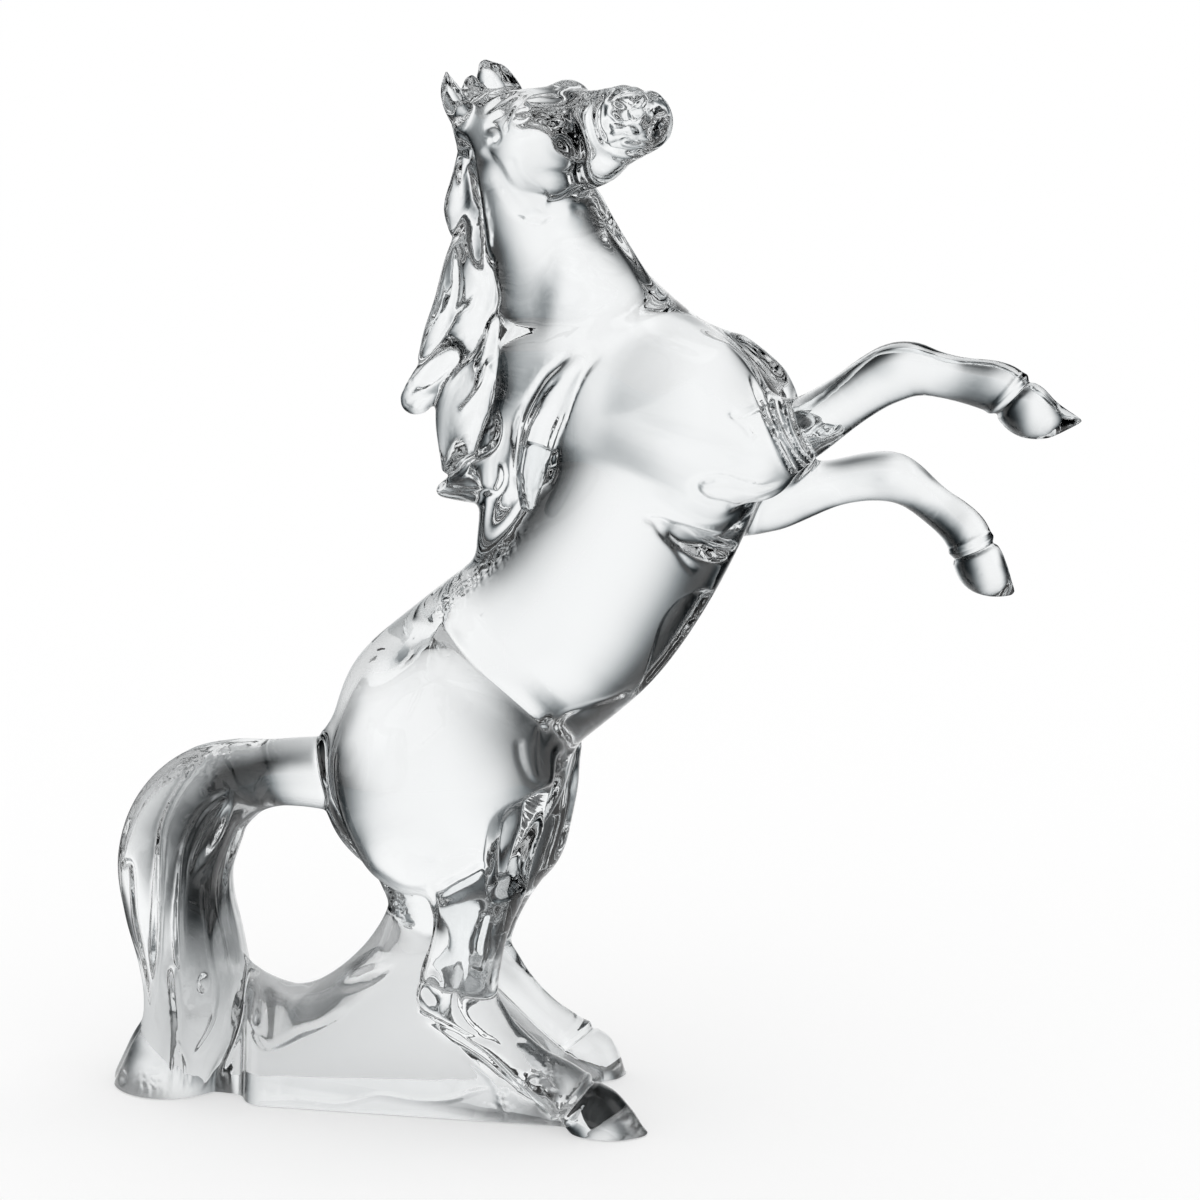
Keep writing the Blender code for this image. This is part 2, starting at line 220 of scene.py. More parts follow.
FAR_FORELEG = (
    (112, 21, 191.5, 11, 11), (121.2, 22, 193, 9.9, 10.5), (130.9, 24, 196, 8.7, 9),
    (140.3, 25, 198.5, 7.4, 8), (150.1, 25, 200.6, 7.7, 8), (157.2, 25, 200.8, 8, 8.3),
    (162.2, 25, 198.8, 7.3, 7.8), (166.5, 25, 195.8, 6.5, 7), (171.3, 25, 192, 6.3, 6.6),
    (176.5, 25, 188.2, 6.8, 7), (180.6, 25, 184, 7.3, 7.5), (183, 25, 179, 7.1, 7.4),
)
FAR_FORE_HOOF = (
    (181.8, 25, 181, 7, 7.4), (185.8, 25, 173.2, 8.2, 8.2), (190.8, 25, 168.6, 5.6, 6.6),
    (195, 25, 165.9, 1.8, 3),
)

# %% [markdown]
# The tail arches back and falls to the table in thick wavy strands. Flutes round the oval give the strands:
# the oval's reach follows the hump of a cosine, so that there is a sharp valley between two round crests.

# %% The tail
TAIL = (
    (-16, 0, 103.5, 12, 12), (-27.4, 0, 103.4, 11, 11.5), (-37, 0, 102.5, 10.8, 12),
    (-47, 0, 100.3, 13, 14.5), (-57.5, 0, 94.5, 16.6, 17), (-65.3, 0, 84.5, 18.7, 19.5),
    (-69.6, 0, 72, 18.7, 21), (-68.9, 0, 59, 17.8, 22), (-65.3, 0, 44, 17.2, 22.5),
    (-63.3, 0, 30, 17, 23.5), (-64.3, 0, 16, 17.2, 25), (-68.3, 0, 5, 18.8, 26), (-71, 0, -4, 20.5, 26.5),
)

TAIL_FLUTES = 11
FLUTE_SHARE = 0.055  # how deep a flute is, as a share of the tail's thickness
TAIL_TWIST = 0.9  # how far the flutes wander round the tail, in radians of their own wave
FLUTE_START = 0.15  # where the flutes begin, as a share of the tail's length
FLUTE_GROWTH = 0.2  # the share of the length over which they grow to full depth
TAIL_SIDES = 240


def tail_flutes(share, turn):
    """Reach = 1 - depth * (1 - |cos(half of TAIL_FLUTES * turn + twist * share)|). The depth grows from the
    root, is full on the back and inner edge, half on the far side and none on the near side, where the
    strands are carved one by one."""
    crest = np.abs(np.cos(TAIL_FLUTES * turn / 2 + TAIL_TWIST * share))
    past_root = np.clip((share - FLUTE_START) / FLUTE_GROWTH, 0, 1)
    to_side = np.clip(2 * np.abs(np.sin(turn)) - 0.6, 0, 1)
    depth = FLUTE_SHARE * past_root * (1 - to_side * np.where(np.sin(turn) < 0, 1.0, 0.5))
    return 1 - depth * (1 - crest)


# %% [markdown]
# The mane falls behind the neck in wavy locks that taper to their tips. The two long limbs in their middle
# carry them. One broad leaf of hair lies over the seam behind the near shoulder.

# %% The mane
MANE_LOCKS = (
    ((31, -3, 311, 2.2, 4), (30, -4, 303, 3.2, 4.5), (28.8, -5, 294, 3.8, 5), (26.4, -5, 284, 4.2, 5),
        (25.2, -5, 277, 1.5, 2)),
    ((36, 4, 301, 6.5, 6), (36, 6, 283, 8.5, 7), (34, 6.5, 262, 9, 7.5), (32, 6, 244, 10, 7)),
    ((36, -4, 301, 6.5, 6), (36, -5.5, 283, 8.5, 6.5), (34, -6, 262, 9, 7), (32, -5.5, 244, 10, 6.5)),
    ((30, -6, 279, 3, 4), (28.5, -7, 268, 5.6, 5.5), (26, -8, 255, 6.4, 6), (21, -8, 245, 5, 6),
        (16, -7, 238, 2, 3)),
    ((33, -5, 250, 5, 9), (26, -7, 240, 5.6, 9), (19, -8, 232.5, 5.8, 9), (14, -8, 225.5, 5, 8)),
    ((40, 0, 250, 8, 13), (33, -2, 236, 8.5, 15), (29, -4, 222, 9.5, 15), (26, -5, 210, 6, 11),
        (23, -5, 204, 2, 5)),
    ((46, 0, 214, 14, 20), (39, 0, 203, 10, 17), (30, 0, 199, 7, 13), (20, 0, 196, 2.5, 6)),
    ((52, 0, 226, 16, 20), (46, 0, 208, 13, 22), (42, 0, 194, 9, 20), (36, 0, 180, 5, 14)),
)
SHOULDER_LEAF = (
    (69, -17, 240, 4, 5), (62, -22.5, 231, 5, 6), (57, -26.5, 219, 5.5, 6.5), (54.5, -28, 206, 4.5, 6),
    (53.5, -27, 197, 2.5, 4),
)

# %% [markdown]
# The photograph shows clear calm light in the breast, the haunch and the cheek, where clefts on the far side
# would break it up. So the crystal is full there: between the roots of the forelegs, in the fork of the hind
# legs, between the near hind leg and the wedge, and on the far side under the haunch, at the foot of the
# neck and behind the cheek.

# %% Where the crystal is full
BREAST = (
    (92, -3, 250, 8, 14), (103.5, -3, 234, 13, 20), (110.5, -3, 223, 13, 20), (115, -3, 212, 12, 18),
    (111, -3, 202, 9, 14),
)
FORK = (
    (12, 0, 81, 7, 7), (24, 0, 83, 10, 9), (36, 0, 88, 10, 9), (46, 0, 97, 9, 8), (54, 0, 109, 7, 8),
    (58, 0, 120, 5, 6),
)
UNDER_FAR_NECK = (
    (50, 4, 278, 9, 9), (60, 9, 264, 14, 11), (71, 13, 250, 18, 13.5), (83, 14, 240, 18, 14.5),
    (93, 13, 234, 14, 13),
)
BEHIND_FAR_CHEEK = (
    (37, 2, 289, 8, 9), (42, 4, 297, 10, 11.5), (48, 3.5, 302, 12, 12), (55, 1, 304, 12, 11.5),
    (62, -4, 306, 8, 8),
)
BESIDE_NEAR_CANNON = (
    (22, -15, 34, 8, 9), (34, -15, 27, 9, 10), (46, -16, 18.5, 8.5, 10), (56, -18, 11, 7, 9),
    (64, -21, 5, 5, 7),
)
UNDER_FAR_HAUNCH = ((3, 17, 90, 9, 14), (11, 20, 79, 11, 15), (19, 23, 69, 8, 11))

# %% [markdown]
# The head turns to the viewer, looks up a little and leans over. Its parts are drawn in a frame of its own:
# x to the nose, y to the horse's left, z to the crown, counted from the nape.

# %% The head
NAPE = np.array([34, 0, 306])
HEAD_TURN = math.radians(28)  # to the horse's right
HEAD_LIFT = math.radians(7)
HEAD_ROLL = math.radians(18)  # left eye above the right one
SKULL = (
    (-2.5, 0, 2, 8, 9), (6, 0, 1, 12.5, 11.5), (17, 0, -1, 14.3, 12.5), (28, 0, -1, 14, 12),
    (39, 0, 0, 11.5, 9), (48, 0, 0, 10.6, 8), (56, 0, 0, 11, 9.7), (62.5, 0, -0.5, 9.8, 9.5),
)
JOWL = ((13, 0, -3, 9, 11), (20, 0, -9, 11.5, 13), (27, 0, -13.5, 9.5, 11.5))
LOWER_JAW = (
    (22, 0, -14, 7.5, 8), (33, 0, -14.2, 6.5, 6.5), (43, 0, -12.5, 6, 5.5), (50, 0, -9, 5.5, 6),
    (57, 0, -7, 5, 6),
)
BROW = ((24, 6.8, 7.4, 3.4, 4), (31, 7.2, 8.6, 4.5, 4.5), (37, 6, 7.8, 3.4, 3.6))
FORELOCK = ((-2, 0.5, 9, 6, 5.5), (0, 0.5, 13, 5, 4), (1, 0.5, 17, 2.6, 2.6))
NEAR_EAR = (
    (1.2, -7.6, 8.5, 4.8, 3.8), (0.6, -8.6, 14, 4.4, 3.4), (0.8, -9.2, 19, 3.2, 2.4),
    (1.6, -9.4, 23.6, 0.8, 0.8),
)
FAR_EAR = ((6, 8, 8, 7.5, 4), (3.5, 8.4, 13, 7.2, 3.8), (1.8, 8.6, 17, 6, 3), (0.8, 8.6, 20, 2.4, 1.4))


def head_frame():
    """The head's directions in the horse's frame: rolled, then lifted, then turned."""
    turned = Matrix.Rotation(-HEAD_TURN, 4, "Z") @ Matrix.Rotation(-HEAD_LIFT, 4, "Y")
    return np.array((turned @ Matrix.Rotation(HEAD_ROLL, 4, "X")).to_3x3())


HEAD_FRAME = head_frame()


def in_head(points):
    """The points in the head's own frame."""
    return (points - NAPE) @ HEAD_FRAME


# %% [markdown]
# The wedge is the crystal left standing between the tail and the hind legs. Its sides lean in a little,
# so that it would leave its mould, and turn over a sharp edge to two slopes that meet in a soft ridge. So
# it has a surface function of its own. Beside the tail it is narrow, and the strands stand out from it.

# %% The wedge
# The stations: (x, height of the ridge, height of the two upper edges, half width at the table).
FOOT_STATIONS = (
    (-76, 18, 10, 14), (-62, 42, 26, 15), (-50, 44, 27, 15.5), (-44, 39.5, 26, 17), (-40.5, 37, 26, 23),
    (-36, 35, 20.5, 26), (-29, 33.5, 18.5, 26), (-22, 35.5, 22, 26), (-14, 41, 27, 26), (-7, 48, 31, 26),
    (-1, 57, 35, 26), (4, 68, 38, 26), (11, 74, 40, 26), (20, 60, 37, 26), (29, 42, 31, 26),
    (41, 26, 20, 26), (54, 12, 10, 26), (66, 4, 3, 26),
)
DRAFT = math.tan(math.radians(9))  # how much each side leans in over its height
# The far side stands in toward the tail: this share of the half width there, and all of it at the hooves.
FAR_SHARE_AT_TAIL = 0.45
NARROW_UNTIL = -40
WIDENING = 75  # the length over which the far side comes out
ROOF_POWER = 1.4  # of the slopes' rise to the ridge
FOOT_SINK = 6  # how far it runs below the table before it is cut
WEDGE_ROWS = 6


def wedge_surface(sides=SIDES):
    """Point (row, share) of the top, with the share from -1 to 1 = (x, share * reach, edge + (ridge - edge)
    * (1 - |share| to the power ROOF_POWER)). Reach = half width - DRAFT * edge. One more point lies under
    each side."""
    rows = smooth_rows(FOOT_STATIONS, WEDGE_ROWS)
    x, ridge, edge, half = (rows[:, k:k + 1] for k in range(4))
    share = np.sin(np.linspace(-math.pi / 2, math.pi / 2, sides - 1))[None, :]
    widened = np.clip((x - NARROW_UNTIL) / WIDENING, 0, 1)
    far_half = half * (FAR_SHARE_AT_TAIL + (1 - FAR_SHARE_AT_TAIL) * widened)
    reach = np.where(share < 0, half, far_half) - DRAFT * edge
    top = [x + 0 * share, reach * share, edge + (ridge - edge) * (1 - np.abs(share) ** ROOF_POWER)]
    near = np.stack([x, -half - DRAFT * FOOT_SINK, np.full_like(x, -FOOT_SINK)], -1)
    far = np.stack([x, far_half + DRAFT * FOOT_SINK, np.full_like(x, -FOOT_SINK)], -1)
    return np.concatenate([near, np.stack(top, -1), far], axis=1)


print("the wedge has", wedge_surface().shape[:2], "rows and sides")

# %% [markdown]
# Each limb laps into the next. The voxel remesh below keeps only the outer skin of all the closed surfaces
# in one mesh. That is surer than many Boolean unions, and its even faces are what carving needs.

# %% One mesh from all the grids
def new_mesh(name, points, faces):
    """A mesh of the points, with faces given by point numbers."""
    mesh = bpy.data.meshes.new(name)
    mesh.from_pydata(points, [], faces)
    return mesh


def grid_mesh(grids, name):
    """Each grid of shape (rows, sides, 3) becomes a closed tube: quads between neighbours, and one face
    on each end."""
    points, faces, first = [], [], 0
    for grid in grids:
        rows, sides = grid.shape[:2]
        row, side = np.meshgrid(np.arange(rows - 1), np.arange(sides), indexing="ij")
        after = (side + 1) % sides
        here, beside = row * sides + side, row * sides + after
        corners = [here, beside, beside + sides, here + sides]
        faces += (np.stack(corners, -1).reshape(-1, 4) + first).tolist()
        ends = [np.arange(sides)[::-1] + first, np.arange(sides) + (rows - 1) * sides + first]
        faces += [end.tolist() for end in ends]
        points.append(grid.reshape(-1, 3))
        first += rows * sides
    return new_mesh(name, np.concatenate(points).tolist(), faces)


BODY = [
    TORSO, BUTTOCKS, NECK,
    NEAR_HIND_LEG, NEAR_CANNON, NEAR_HIND_HOOF,
    FAR_HIND_LEG, FAR_CANNON, FAR_HIND_HOOF,
    NEAR_SHOULDER, NEAR_FORELEG, NEAR_FORE_HOOF,
    FAR_SHOULDER, FAR_FORELEG, FAR_FORE_HOOF,
    *MANE_LOCKS, SHOULDER_LEAF,
    BREAST, FORK, BESIDE_NEAR_CANNON, UNDER_FAR_HAUNCH, UNDER_FAR_NECK, BEHIND_FAR_CHEEK,
]
HEAD = [SKULL, JOWL, LOWER_JAW, BROW, mirrored(BROW), FORELOCK, NEAR_EAR, FAR_EAR]
grids = [limb_surface(stations) for stations in BODY]
grids += [limb_surface(stations) @ HEAD_FRAME.T + NAPE for stations in HEAD]
grids += [limb_surface(TAIL, sides=TAIL_SIDES, flutes=tail_flutes), wedge_surface()]
print(len(grids), "closed surfaces,", sum(grid.shape[0] * grid.shape[1] for grid in grids), "points")

# %% [markdown]
# A modifier's result is read from the dependency graph, which is Blender's list of what follows from what.
# The new mesh then stands alone, and the object that made it goes.

# %% Fusing the limbs in one skin
CELL = 0.7  # of the grid that fuses the limbs, in units


def put_in_scene(name, mesh):
    """An object at the origin that shows the mesh."""
    obj = bpy.data.objects.new(name, mesh)
    bpy.context.scene.collection.objects.link(obj)
    return obj


def mesh_after_modifiers(obj):
    """What the object's modifiers make of its mesh, as a new mesh."""
    bpy.context.view_layer.update()
    mesh = bpy.data.meshes.new_from_object(obj.evaluated_get(bpy.context.evaluated_depsgraph_get()))
    bpy.data.objects.remove(obj, do_unlink=True)
    return mesh


def fused(mesh):
    """The outer skin of every closed surface in the mesh, in faces as large as one cell."""
    limbs = put_in_scene("limbs", mesh)
    skin = limbs.modifiers.new("one_skin", "REMESH")
    skin.mode = "VOXEL"
    skin.voxel_size = CELL
    skin.adaptivity = 0.0
    return mesh_after_modifiers(limbs)


skin = fused(grid_mesh(grids, "limbs"))
print("fused skin:", len(skin.vertices), "points and", len(skin.polygons), "faces")

# %% [markdown]
# From here the skin is an array of points, one row for each. To soften it, each point moves toward the mean
# of its neighbours, many times over, as hot glass would flow. A softness from 0 to 1 says where: the seams
# of the body melt away, while the locks of the mane, the ears, the tail and the foot stay crisp.

# %% The skin as arrays
LEAST_SOFTNESS = 0.004


def rows_of(parts, attribute, wide, kind=float):
    """An attribute of the parts of a mesh, one row for each part."""
    flat = np.empty(len(parts) * wide, kind)
    parts.foreach_get(attribute, flat)
    return flat.reshape(-1, wide)


def point_array(mesh):
    """The places of the mesh's points."""
    return rows_of(mesh.vertices, "co", 3)


def normal_array(mesh):
    """The outward direction at each point."""
    return rows_of(mesh.vertex_normals, "vector", 3)


def edge_array(mesh):
    """The two point numbers of each edge."""
    return rows_of(mesh.edges, "vertices", 2, int)


def set_points(mesh, points):
    """Puts the places back in the mesh."""
    mesh.vertices.foreach_set("co", points.ravel())
    mesh.update()


def softened(points, edges, softness, passes):
    """In each pass: point + 0.5 * softness * (mean of its neighbours - point). Points with hardly any
    softness stay out of the sums."""
    softness = np.broadcast_to(np.asarray(softness, float), len(points))
    moving = np.flatnonzero(softness > LEAST_SOFTNESS)
    place_in_list = np.full(len(points), -1)
    place_in_list[moving] = np.arange(len(moving))
    ends = place_in_list[np.concatenate([edges[:, 0], edges[:, 1]])]
    others = np.concatenate([edges[:, 1], edges[:, 0]])[ends >= 0]
    ends = ends[ends >= 0]
    neighbours = np.bincount(ends, minlength=len(moving))[:, None]
    share = 0.5 * softness[moving, None]
    points = points.copy()
    for _ in range(passes):
        total = np.stack([np.bincount(ends, points[others, k], len(moving)) for k in range(3)], -1)
        points[moving] += share * (total / neighbours - points[moving])
    return points


def side_view(points):
    """The points as seen from the side: x and z."""
    return points[:, [0, 2]]


def rise(values, low, high):
    """0 below low, 1 above high, and an S between them: 3 * t squared - 2 * t cubed."""
    share = np.clip((np.asarray(values, float) - low) / (high - low), 0, 1)
    return share * share * (3 - 2 * share)


# %% [markdown]
# Softening needs to know which limb a point lies on. The nearest place on a limb's middle line says how far
# out the point is, counted in the limb's own ovals.

# %% Where a point lies on a limb
FAR_OFF = 99.0  # stands for a distance that nothing comes near
THINNEST = 0.5  # the least half depth or half width that is reckoned with
FINE_ROWS = 24
BLOCK = 20_000  # points in one go, for the sake of memory
SKIN_REACH = 1.08  # in ovals: a limb's own surface, with room for the remesh


def ovals_from(points, stations, reach=1.6):
    """Each point's distance from the limb's middle line in ovals: the root of deep squared + wide squared +
    ahead squared, and 1 on the surface. Points outside a box round the limb get FAR_OFF."""
    centres, depth, width, along, sideways, across = limb_frame(stations, FINE_ROWS)
    margin = reach * max(depth.max(), width.max())
    near = np.all((points > centres.min(0) - margin) & (points < centres.max(0) + margin), axis=1)
    numbers = np.flatnonzero(near)
    out = np.full(len(points), FAR_OFF)
    for block in np.array_split(numbers, max(1, len(numbers) // BLOCK)):
        spots = points[block]
        gaps = (spots**2).sum(1)[:, None] - 2 * spots @ centres.T + (centres**2).sum(1)[None, :]
        nearest = gaps.argmin(1)
        offset = spots - centres[nearest]
        deep = (offset * across[nearest]).sum(1) / np.maximum(depth[nearest], THINNEST)
        wide = (offset * sideways[nearest]).sum(1) / np.maximum(width[nearest], THINNEST)
        ahead = (offset * along[nearest]).sum(1) / np.maximum(depth[nearest], THINNEST)
        out[block] = np.sqrt(deep**2 + wide**2 + np.maximum(np.abs(ahead) - 0.5, 0) ** 2)
    return out


def on_limb(points, stations, fade=0.25):
    """1 on the limb's own surface and inside it, fading to 0 beyond it."""
    return 1 - rise(ovals_from(points, stations), SKIN_REACH, SKIN_REACH + fade)


points = point_array(skin)
edges = edge_array(skin)
head_points = in_head(points)
print("head reaches", head_points[head_points[:, 0] > 20].max(0).round(1), "in its own frame")

# %% The soft body and the crisp hair
SEAM_PASSES = 36
CRISP_LIMBS = (  # how crisp, the limbs, the points in the frame that they are drawn in
    (0.75, (*MANE_LOCKS[:6], SHOULDER_LEAF, mirrored(SHOULDER_LEAF)), points),
    (0.85, (TAIL,), points),
    (0.9, (NEAR_EAR, FAR_EAR), head_points),
    (0.6, (FORELOCK,), head_points),
)
crisp = np.zeros(len(points))
for crispness, limbs, places in CRISP_LIMBS:
    for stations in limbs:
        crisp = np.maximum(crisp, crispness * on_limb(places, stations))
crisp = np.maximum(crisp, 0.7 * (1 - rise(points[:, 2], 44, 60)))  # the foot, up to the hocks
points = softened(points, edges, 1 - crisp, SEAM_PASSES)
print("crisp share of the skin:", round(float(crisp.mean()), 3))

# %% [markdown]
# The great muscles of the trunk run into each other without an edge, so the seams between trunk, neck,
# shoulders and haunches get many more passes. Slender parts don't, because softening thins them.

# %% Broad seams
BROAD_PASSES = 120
NECK_PASSES = 500
BROAD_LIMBS = (TORSO, NECK, NEAR_SHOULDER, FAR_SHOULDER, NEAR_HIND_LEG[:5], FAR_HIND_LEG[:5])
broad = np.zeros(len(points))
for stations in BROAD_LIMBS:
    broad = np.maximum(broad, on_limb(points, stations))
broad *= 1 - np.clip(3 * crisp, 0, 1)
broad *= 1 - rise(head_points[:, 0], -2, 3) * rise(head_points[:, 2], -34, -26)  # not on the head
broad *= rise(points[:, 2], 92, 104) * (1 - rise(points[:, 0], 116, 124))  # and not on the legs
points = softened(points, edges, broad, BROAD_PASSES)
print("broad seams on", round(float(broad.mean()), 3), "of the skin")

# The seam where the neck stands in the chest is the deepest, so it gets the most passes.
SEAM_MIDDLE = np.array([88, 246])  # in x and z
SEAM_RADII = np.array([32, 17])  # along the seam and across it
SEAM_LEAN = np.array([[0.87, -0.5], [0.5, 0.87]])  # it rises by 30 degrees toward the chest's front
across_seam = (side_view(points) - SEAM_MIDDLE) @ SEAM_LEAN / SEAM_RADII
seam = 1 - rise(np.linalg.norm(across_seam, axis=1), 0.6, 1.0)
seam *= 1 - np.clip(3 * crisp, 0, 1)
points = softened(points, edges, seam, NECK_PASSES)
set_points(skin, points)
print("the neck's seam is", round(float(seam.mean()), 3), "of the skin")

# %% [markdown]
# Small forms need smaller faces. The head's faces are split in four once, after the skin is soft, so that
# eyes and nostrils have enough points.

# %% Finer faces on the head
EGG_MIDDLE = np.array([31, 0, -1])
EGG_RADII = np.array([40, 24, 33])


@contextmanager
def open_shape(mesh):
    """The mesh as a shape whose points, edges and faces can be edited. Then it goes back to the mesh."""
    shape = bmesh.new()
    shape.from_mesh(mesh)
    shape.verts.ensure_lookup_table()
    yield shape
    shape.to_mesh(mesh)
    shape.free()


def split_faces(mesh, chosen):
    """Splits each face whose points are all chosen in four."""
    with open_shape(mesh) as shape:
        for number in np.flatnonzero(chosen):
            shape.verts[number].select = True
        edges_in = [edge for edge in shape.edges if edge.verts[0].select and edge.verts[1].select]
        bmesh.ops.subdivide_edges(shape, edges=edges_in, cuts=1, use_grid_fill=True)


def on_head(points):
    """1 inside an egg round the head, fading to 0 at its shell."""
    offset = (in_head(points) - EGG_MIDDLE) / EGG_RADII
    return 1 - rise(np.linalg.norm(offset, axis=1), 0.9, 1.0)


split_faces(skin, on_head(points) > 0.1)
points = point_array(skin)
edges = edge_array(skin)
points = softened(points, edges, on_head(points), 3)
set_points(skin, points)
print("skin with a finer head:", len(points), "points")

# %% [markdown]
# Carving moves points along the outward direction: out for a swell, in for a groove. A groove follows a bent
# line drawn on the figure as seen from the side, in x and z, or in the head's own x and z. Its profile is a
# bell curve. A facet is a slope on one side of a line, down to a floor. A pit is a hollow with a flat floor.
# The far side shows through the near one, so it is carved softer.

# %% Tools for carving
NEAR, FAR = -1, 1  # the side that the camera sees, and the other one
SOFTNESS = {NEAR: (1.0, 1.0), FAR: (0.25, 2.0)}  # the share of the depth, and how many times the width
LINE_ROWS = 6
GROOVE_FADE = 0.15
FACET_FADE = 0.1


def bent_line(places, line, reach):
    """For each place (across, up) near a smooth line through the given points: its gap to the line, more
    than 0 on the left of its direction, and its share of the way along. Elsewhere the gap is FAR_OFF."""
    route = smooth_rows(line, LINE_ROWS)
    gap = np.full(len(places), FAR_OFF)
    share = np.zeros(len(places))
    near = np.all((places > route.min(0) - reach) & (places < route.max(0) + reach), axis=1)
    spots = places[near]
    best, where, left = np.full(len(spots), FAR_OFF), np.zeros(len(spots)), np.ones(len(spots))
    for number, (start, end) in enumerate(zip(route[:-1], route[1:])):
        step = end - start
        offset = spots - start
        along = np.clip(offset @ step / max(step @ step, 1e-9), 0, 1)
        apart = np.linalg.norm(offset - along[:, None] * step, axis=1)
        closer = apart < best
        best[closer] = apart[closer]
        where[closer] = (number + along[closer]) / (len(route) - 1)
        left[closer] = np.sign(step[0] * offset[closer, 1] - step[1] * offset[closer, 0])
    gap[near] = best * left
    share[near] = where
    return gap, share


def groove(places, line, depth, width):
    """Relief = -depth * exp(-(gap / width) squared), fading out over a share of both ends."""
    gap, share = bent_line(places, line, 3 * width)
    ends = rise(share, 0, GROOVE_FADE) * (1 - rise(share, 1 - GROOVE_FADE, 1))
    return -depth * np.exp(-((gap / width) ** 2)) * ends


def swell(places, centre, radii, height, lean):
    """Relief = height * exp(-distance squared), where distance counts in the oval's radii, leaned over."""
    offset = places - np.array(centre, float)
    turn = math.radians(lean)
    along = offset[:, 0] * math.cos(turn) + offset[:, 1] * math.sin(turn)
    up = offset[:, 1] * math.cos(turn) - offset[:, 0] * math.sin(turn)
    return height * np.exp(-((along / radii[0]) ** 2) - (up / radii[1]) ** 2)


def facet(places, line, depth, width, far):
    """Relief = -depth * the share of the width that the gap has run, up to 1, on the left of the line. It
    ends far units from the line."""
    gap, share = bent_line(places, line, far)
    ends = rise(share, 0, FACET_FADE) * (1 - rise(share, 1 - FACET_FADE, 1))
    return -depth * ends * np.clip((gap + 0.3) / width, 0, 1) * (1 - rise(gap, far - 4, far))


def pit(places, centre, radii, depth, lean):
    """Relief = -depth * exp(-distance to the fourth power): a flat floor and steep walls."""
    return -depth * np.exp(-(np.log(np.maximum(swell(places, centre, radii, 1.0, lean), 1e-9)) ** 2))


def facing(points, normals, side):
    """1 where the skin looks to a side and lies beyond the middle plane on it, fading to 0."""
    return rise(side * normals[:, 1], 0.0, 0.4) * rise(side * points[:, 1], -1, 1)


def add_swells(relief, places, mask, table, share=1.0):
    """Adds the table's swells to the relief, each times the mask."""
    for name, centre, radii, height, lean in table:
        relief += mask * swell(places, centre, radii, height * share, lean)


def add_grooves(relief, places, mask, table, side=NEAR):
    """Adds the table's grooves to the relief, each times the mask and as soft as its side is carved."""
    share, times = SOFTNESS[side]
    for depth, width, line in table:
        relief += mask * groove(places, line, depth * share, width * times)


def carved(mesh, relief):
    """The mesh's points moved along their outward directions by the relief."""
    moved = point_array(mesh) + normal_array(mesh) * relief[:, None]
    set_points(mesh, moved)
    return moved


print("tools for grooves, facets, pits and swells are ready")

# %% [markdown]
# First the large soft forms: the shoulder's point and hollows, the upper arm, the neck, the flank, the
# stifle and the haunch. Each row is a form's name and its oval: centre, radii, height and lean in degrees.

# %% Muscles
MUSCLES = (
    ("shoulder point", (112, 232), (16, 11), 1.6, -30),
    ("shoulder hollow", (104, 219), (20, 3.6), -1.9, -12),
    ("upper arm", (112, 206), (15, 8), 1.5, 8),
    ("hollow over the elbow", (95, 206), (14, 3), -0.9, -20),
    ("beside the mane's leaf", (69, 224), (6, 15), 1.6, -8),
    ("neck muscle", (62, 262), (6, 22), 1.0, -12),
    ("throat hollow", (53, 284), (3.5, 14), -0.9, 24),
    ("haunch", (26, 126), (20, 15), 1.4, 35),
    ("flank hollow", (62, 140), (7, 12), -1.2, 40),
    ("stifle", (50, 112), (9, 11), 1.2, -20),
)
PITS = (  # hollows on the near side: name, centre, radii, depth, lean
    ("behind the elbow", (104.5, 186), (9, 3.2), 6, -34),
    ("hock", (24, 45.3), (3.4, 4.8), 1.1, 0),
    ("in the tail, long", (-53, 84.5), (2.0, 11), 2.6, -26),
    ("in the tail, small", (-54.9, 37.4), (1.2, 2.4), 1.8, 0),
    ("tail curl", (-83, 4), (1.6, 1.6), 1.5, 0),
    ("upper slope of the wedge", (-2.5, 41.5), (9, 2.2), 1.5, 28),
)
FACETS = (  # slopes on the near side: depth, width, how far, line with the slope on its left
    (7.0, 6.5, 18, ((59, 109.5), (54, 107.5), (49, 105.5), (45, 102), (43, 97.5), (42, 88), (42.3, 80),
        (44, 73))),
    (2.6, 2.2, 14, ((106, 171), (99, 168), (94, 161.5), (90.5, 152), (87, 143), (81, 133))),
)

normals = normal_array(skin)
relief = np.zeros(len(points))
for side in (NEAR, FAR):
    add_swells(relief, side_view(points), facing(points, normals, side) * SOFTNESS[side][0], MUSCLES)
on_near_side = facing(points, normals, NEAR)
for name, centre, radii, depth, lean in PITS:
    relief += on_near_side * pit(side_view(points), centre, radii, depth, lean)
turned_a_little = rise(-normals[:, 1], -0.15, 0.15) * rise(-points[:, 1], 2, 6)
for depth, width, far, line in FACETS:
    relief += turned_a_little * facet(side_view(points), line, depth, width, far)
points = carved(skin, relief)
print(len(MUSCLES), "muscles,", len(PITS), "pits and", len(FACETS), "facets")
print("muscles and pits down to", round(float(-relief.min()), 2), "units")

# %% [markdown]
# Then the creases between the forms. Each is (depth, width, line through x and z).

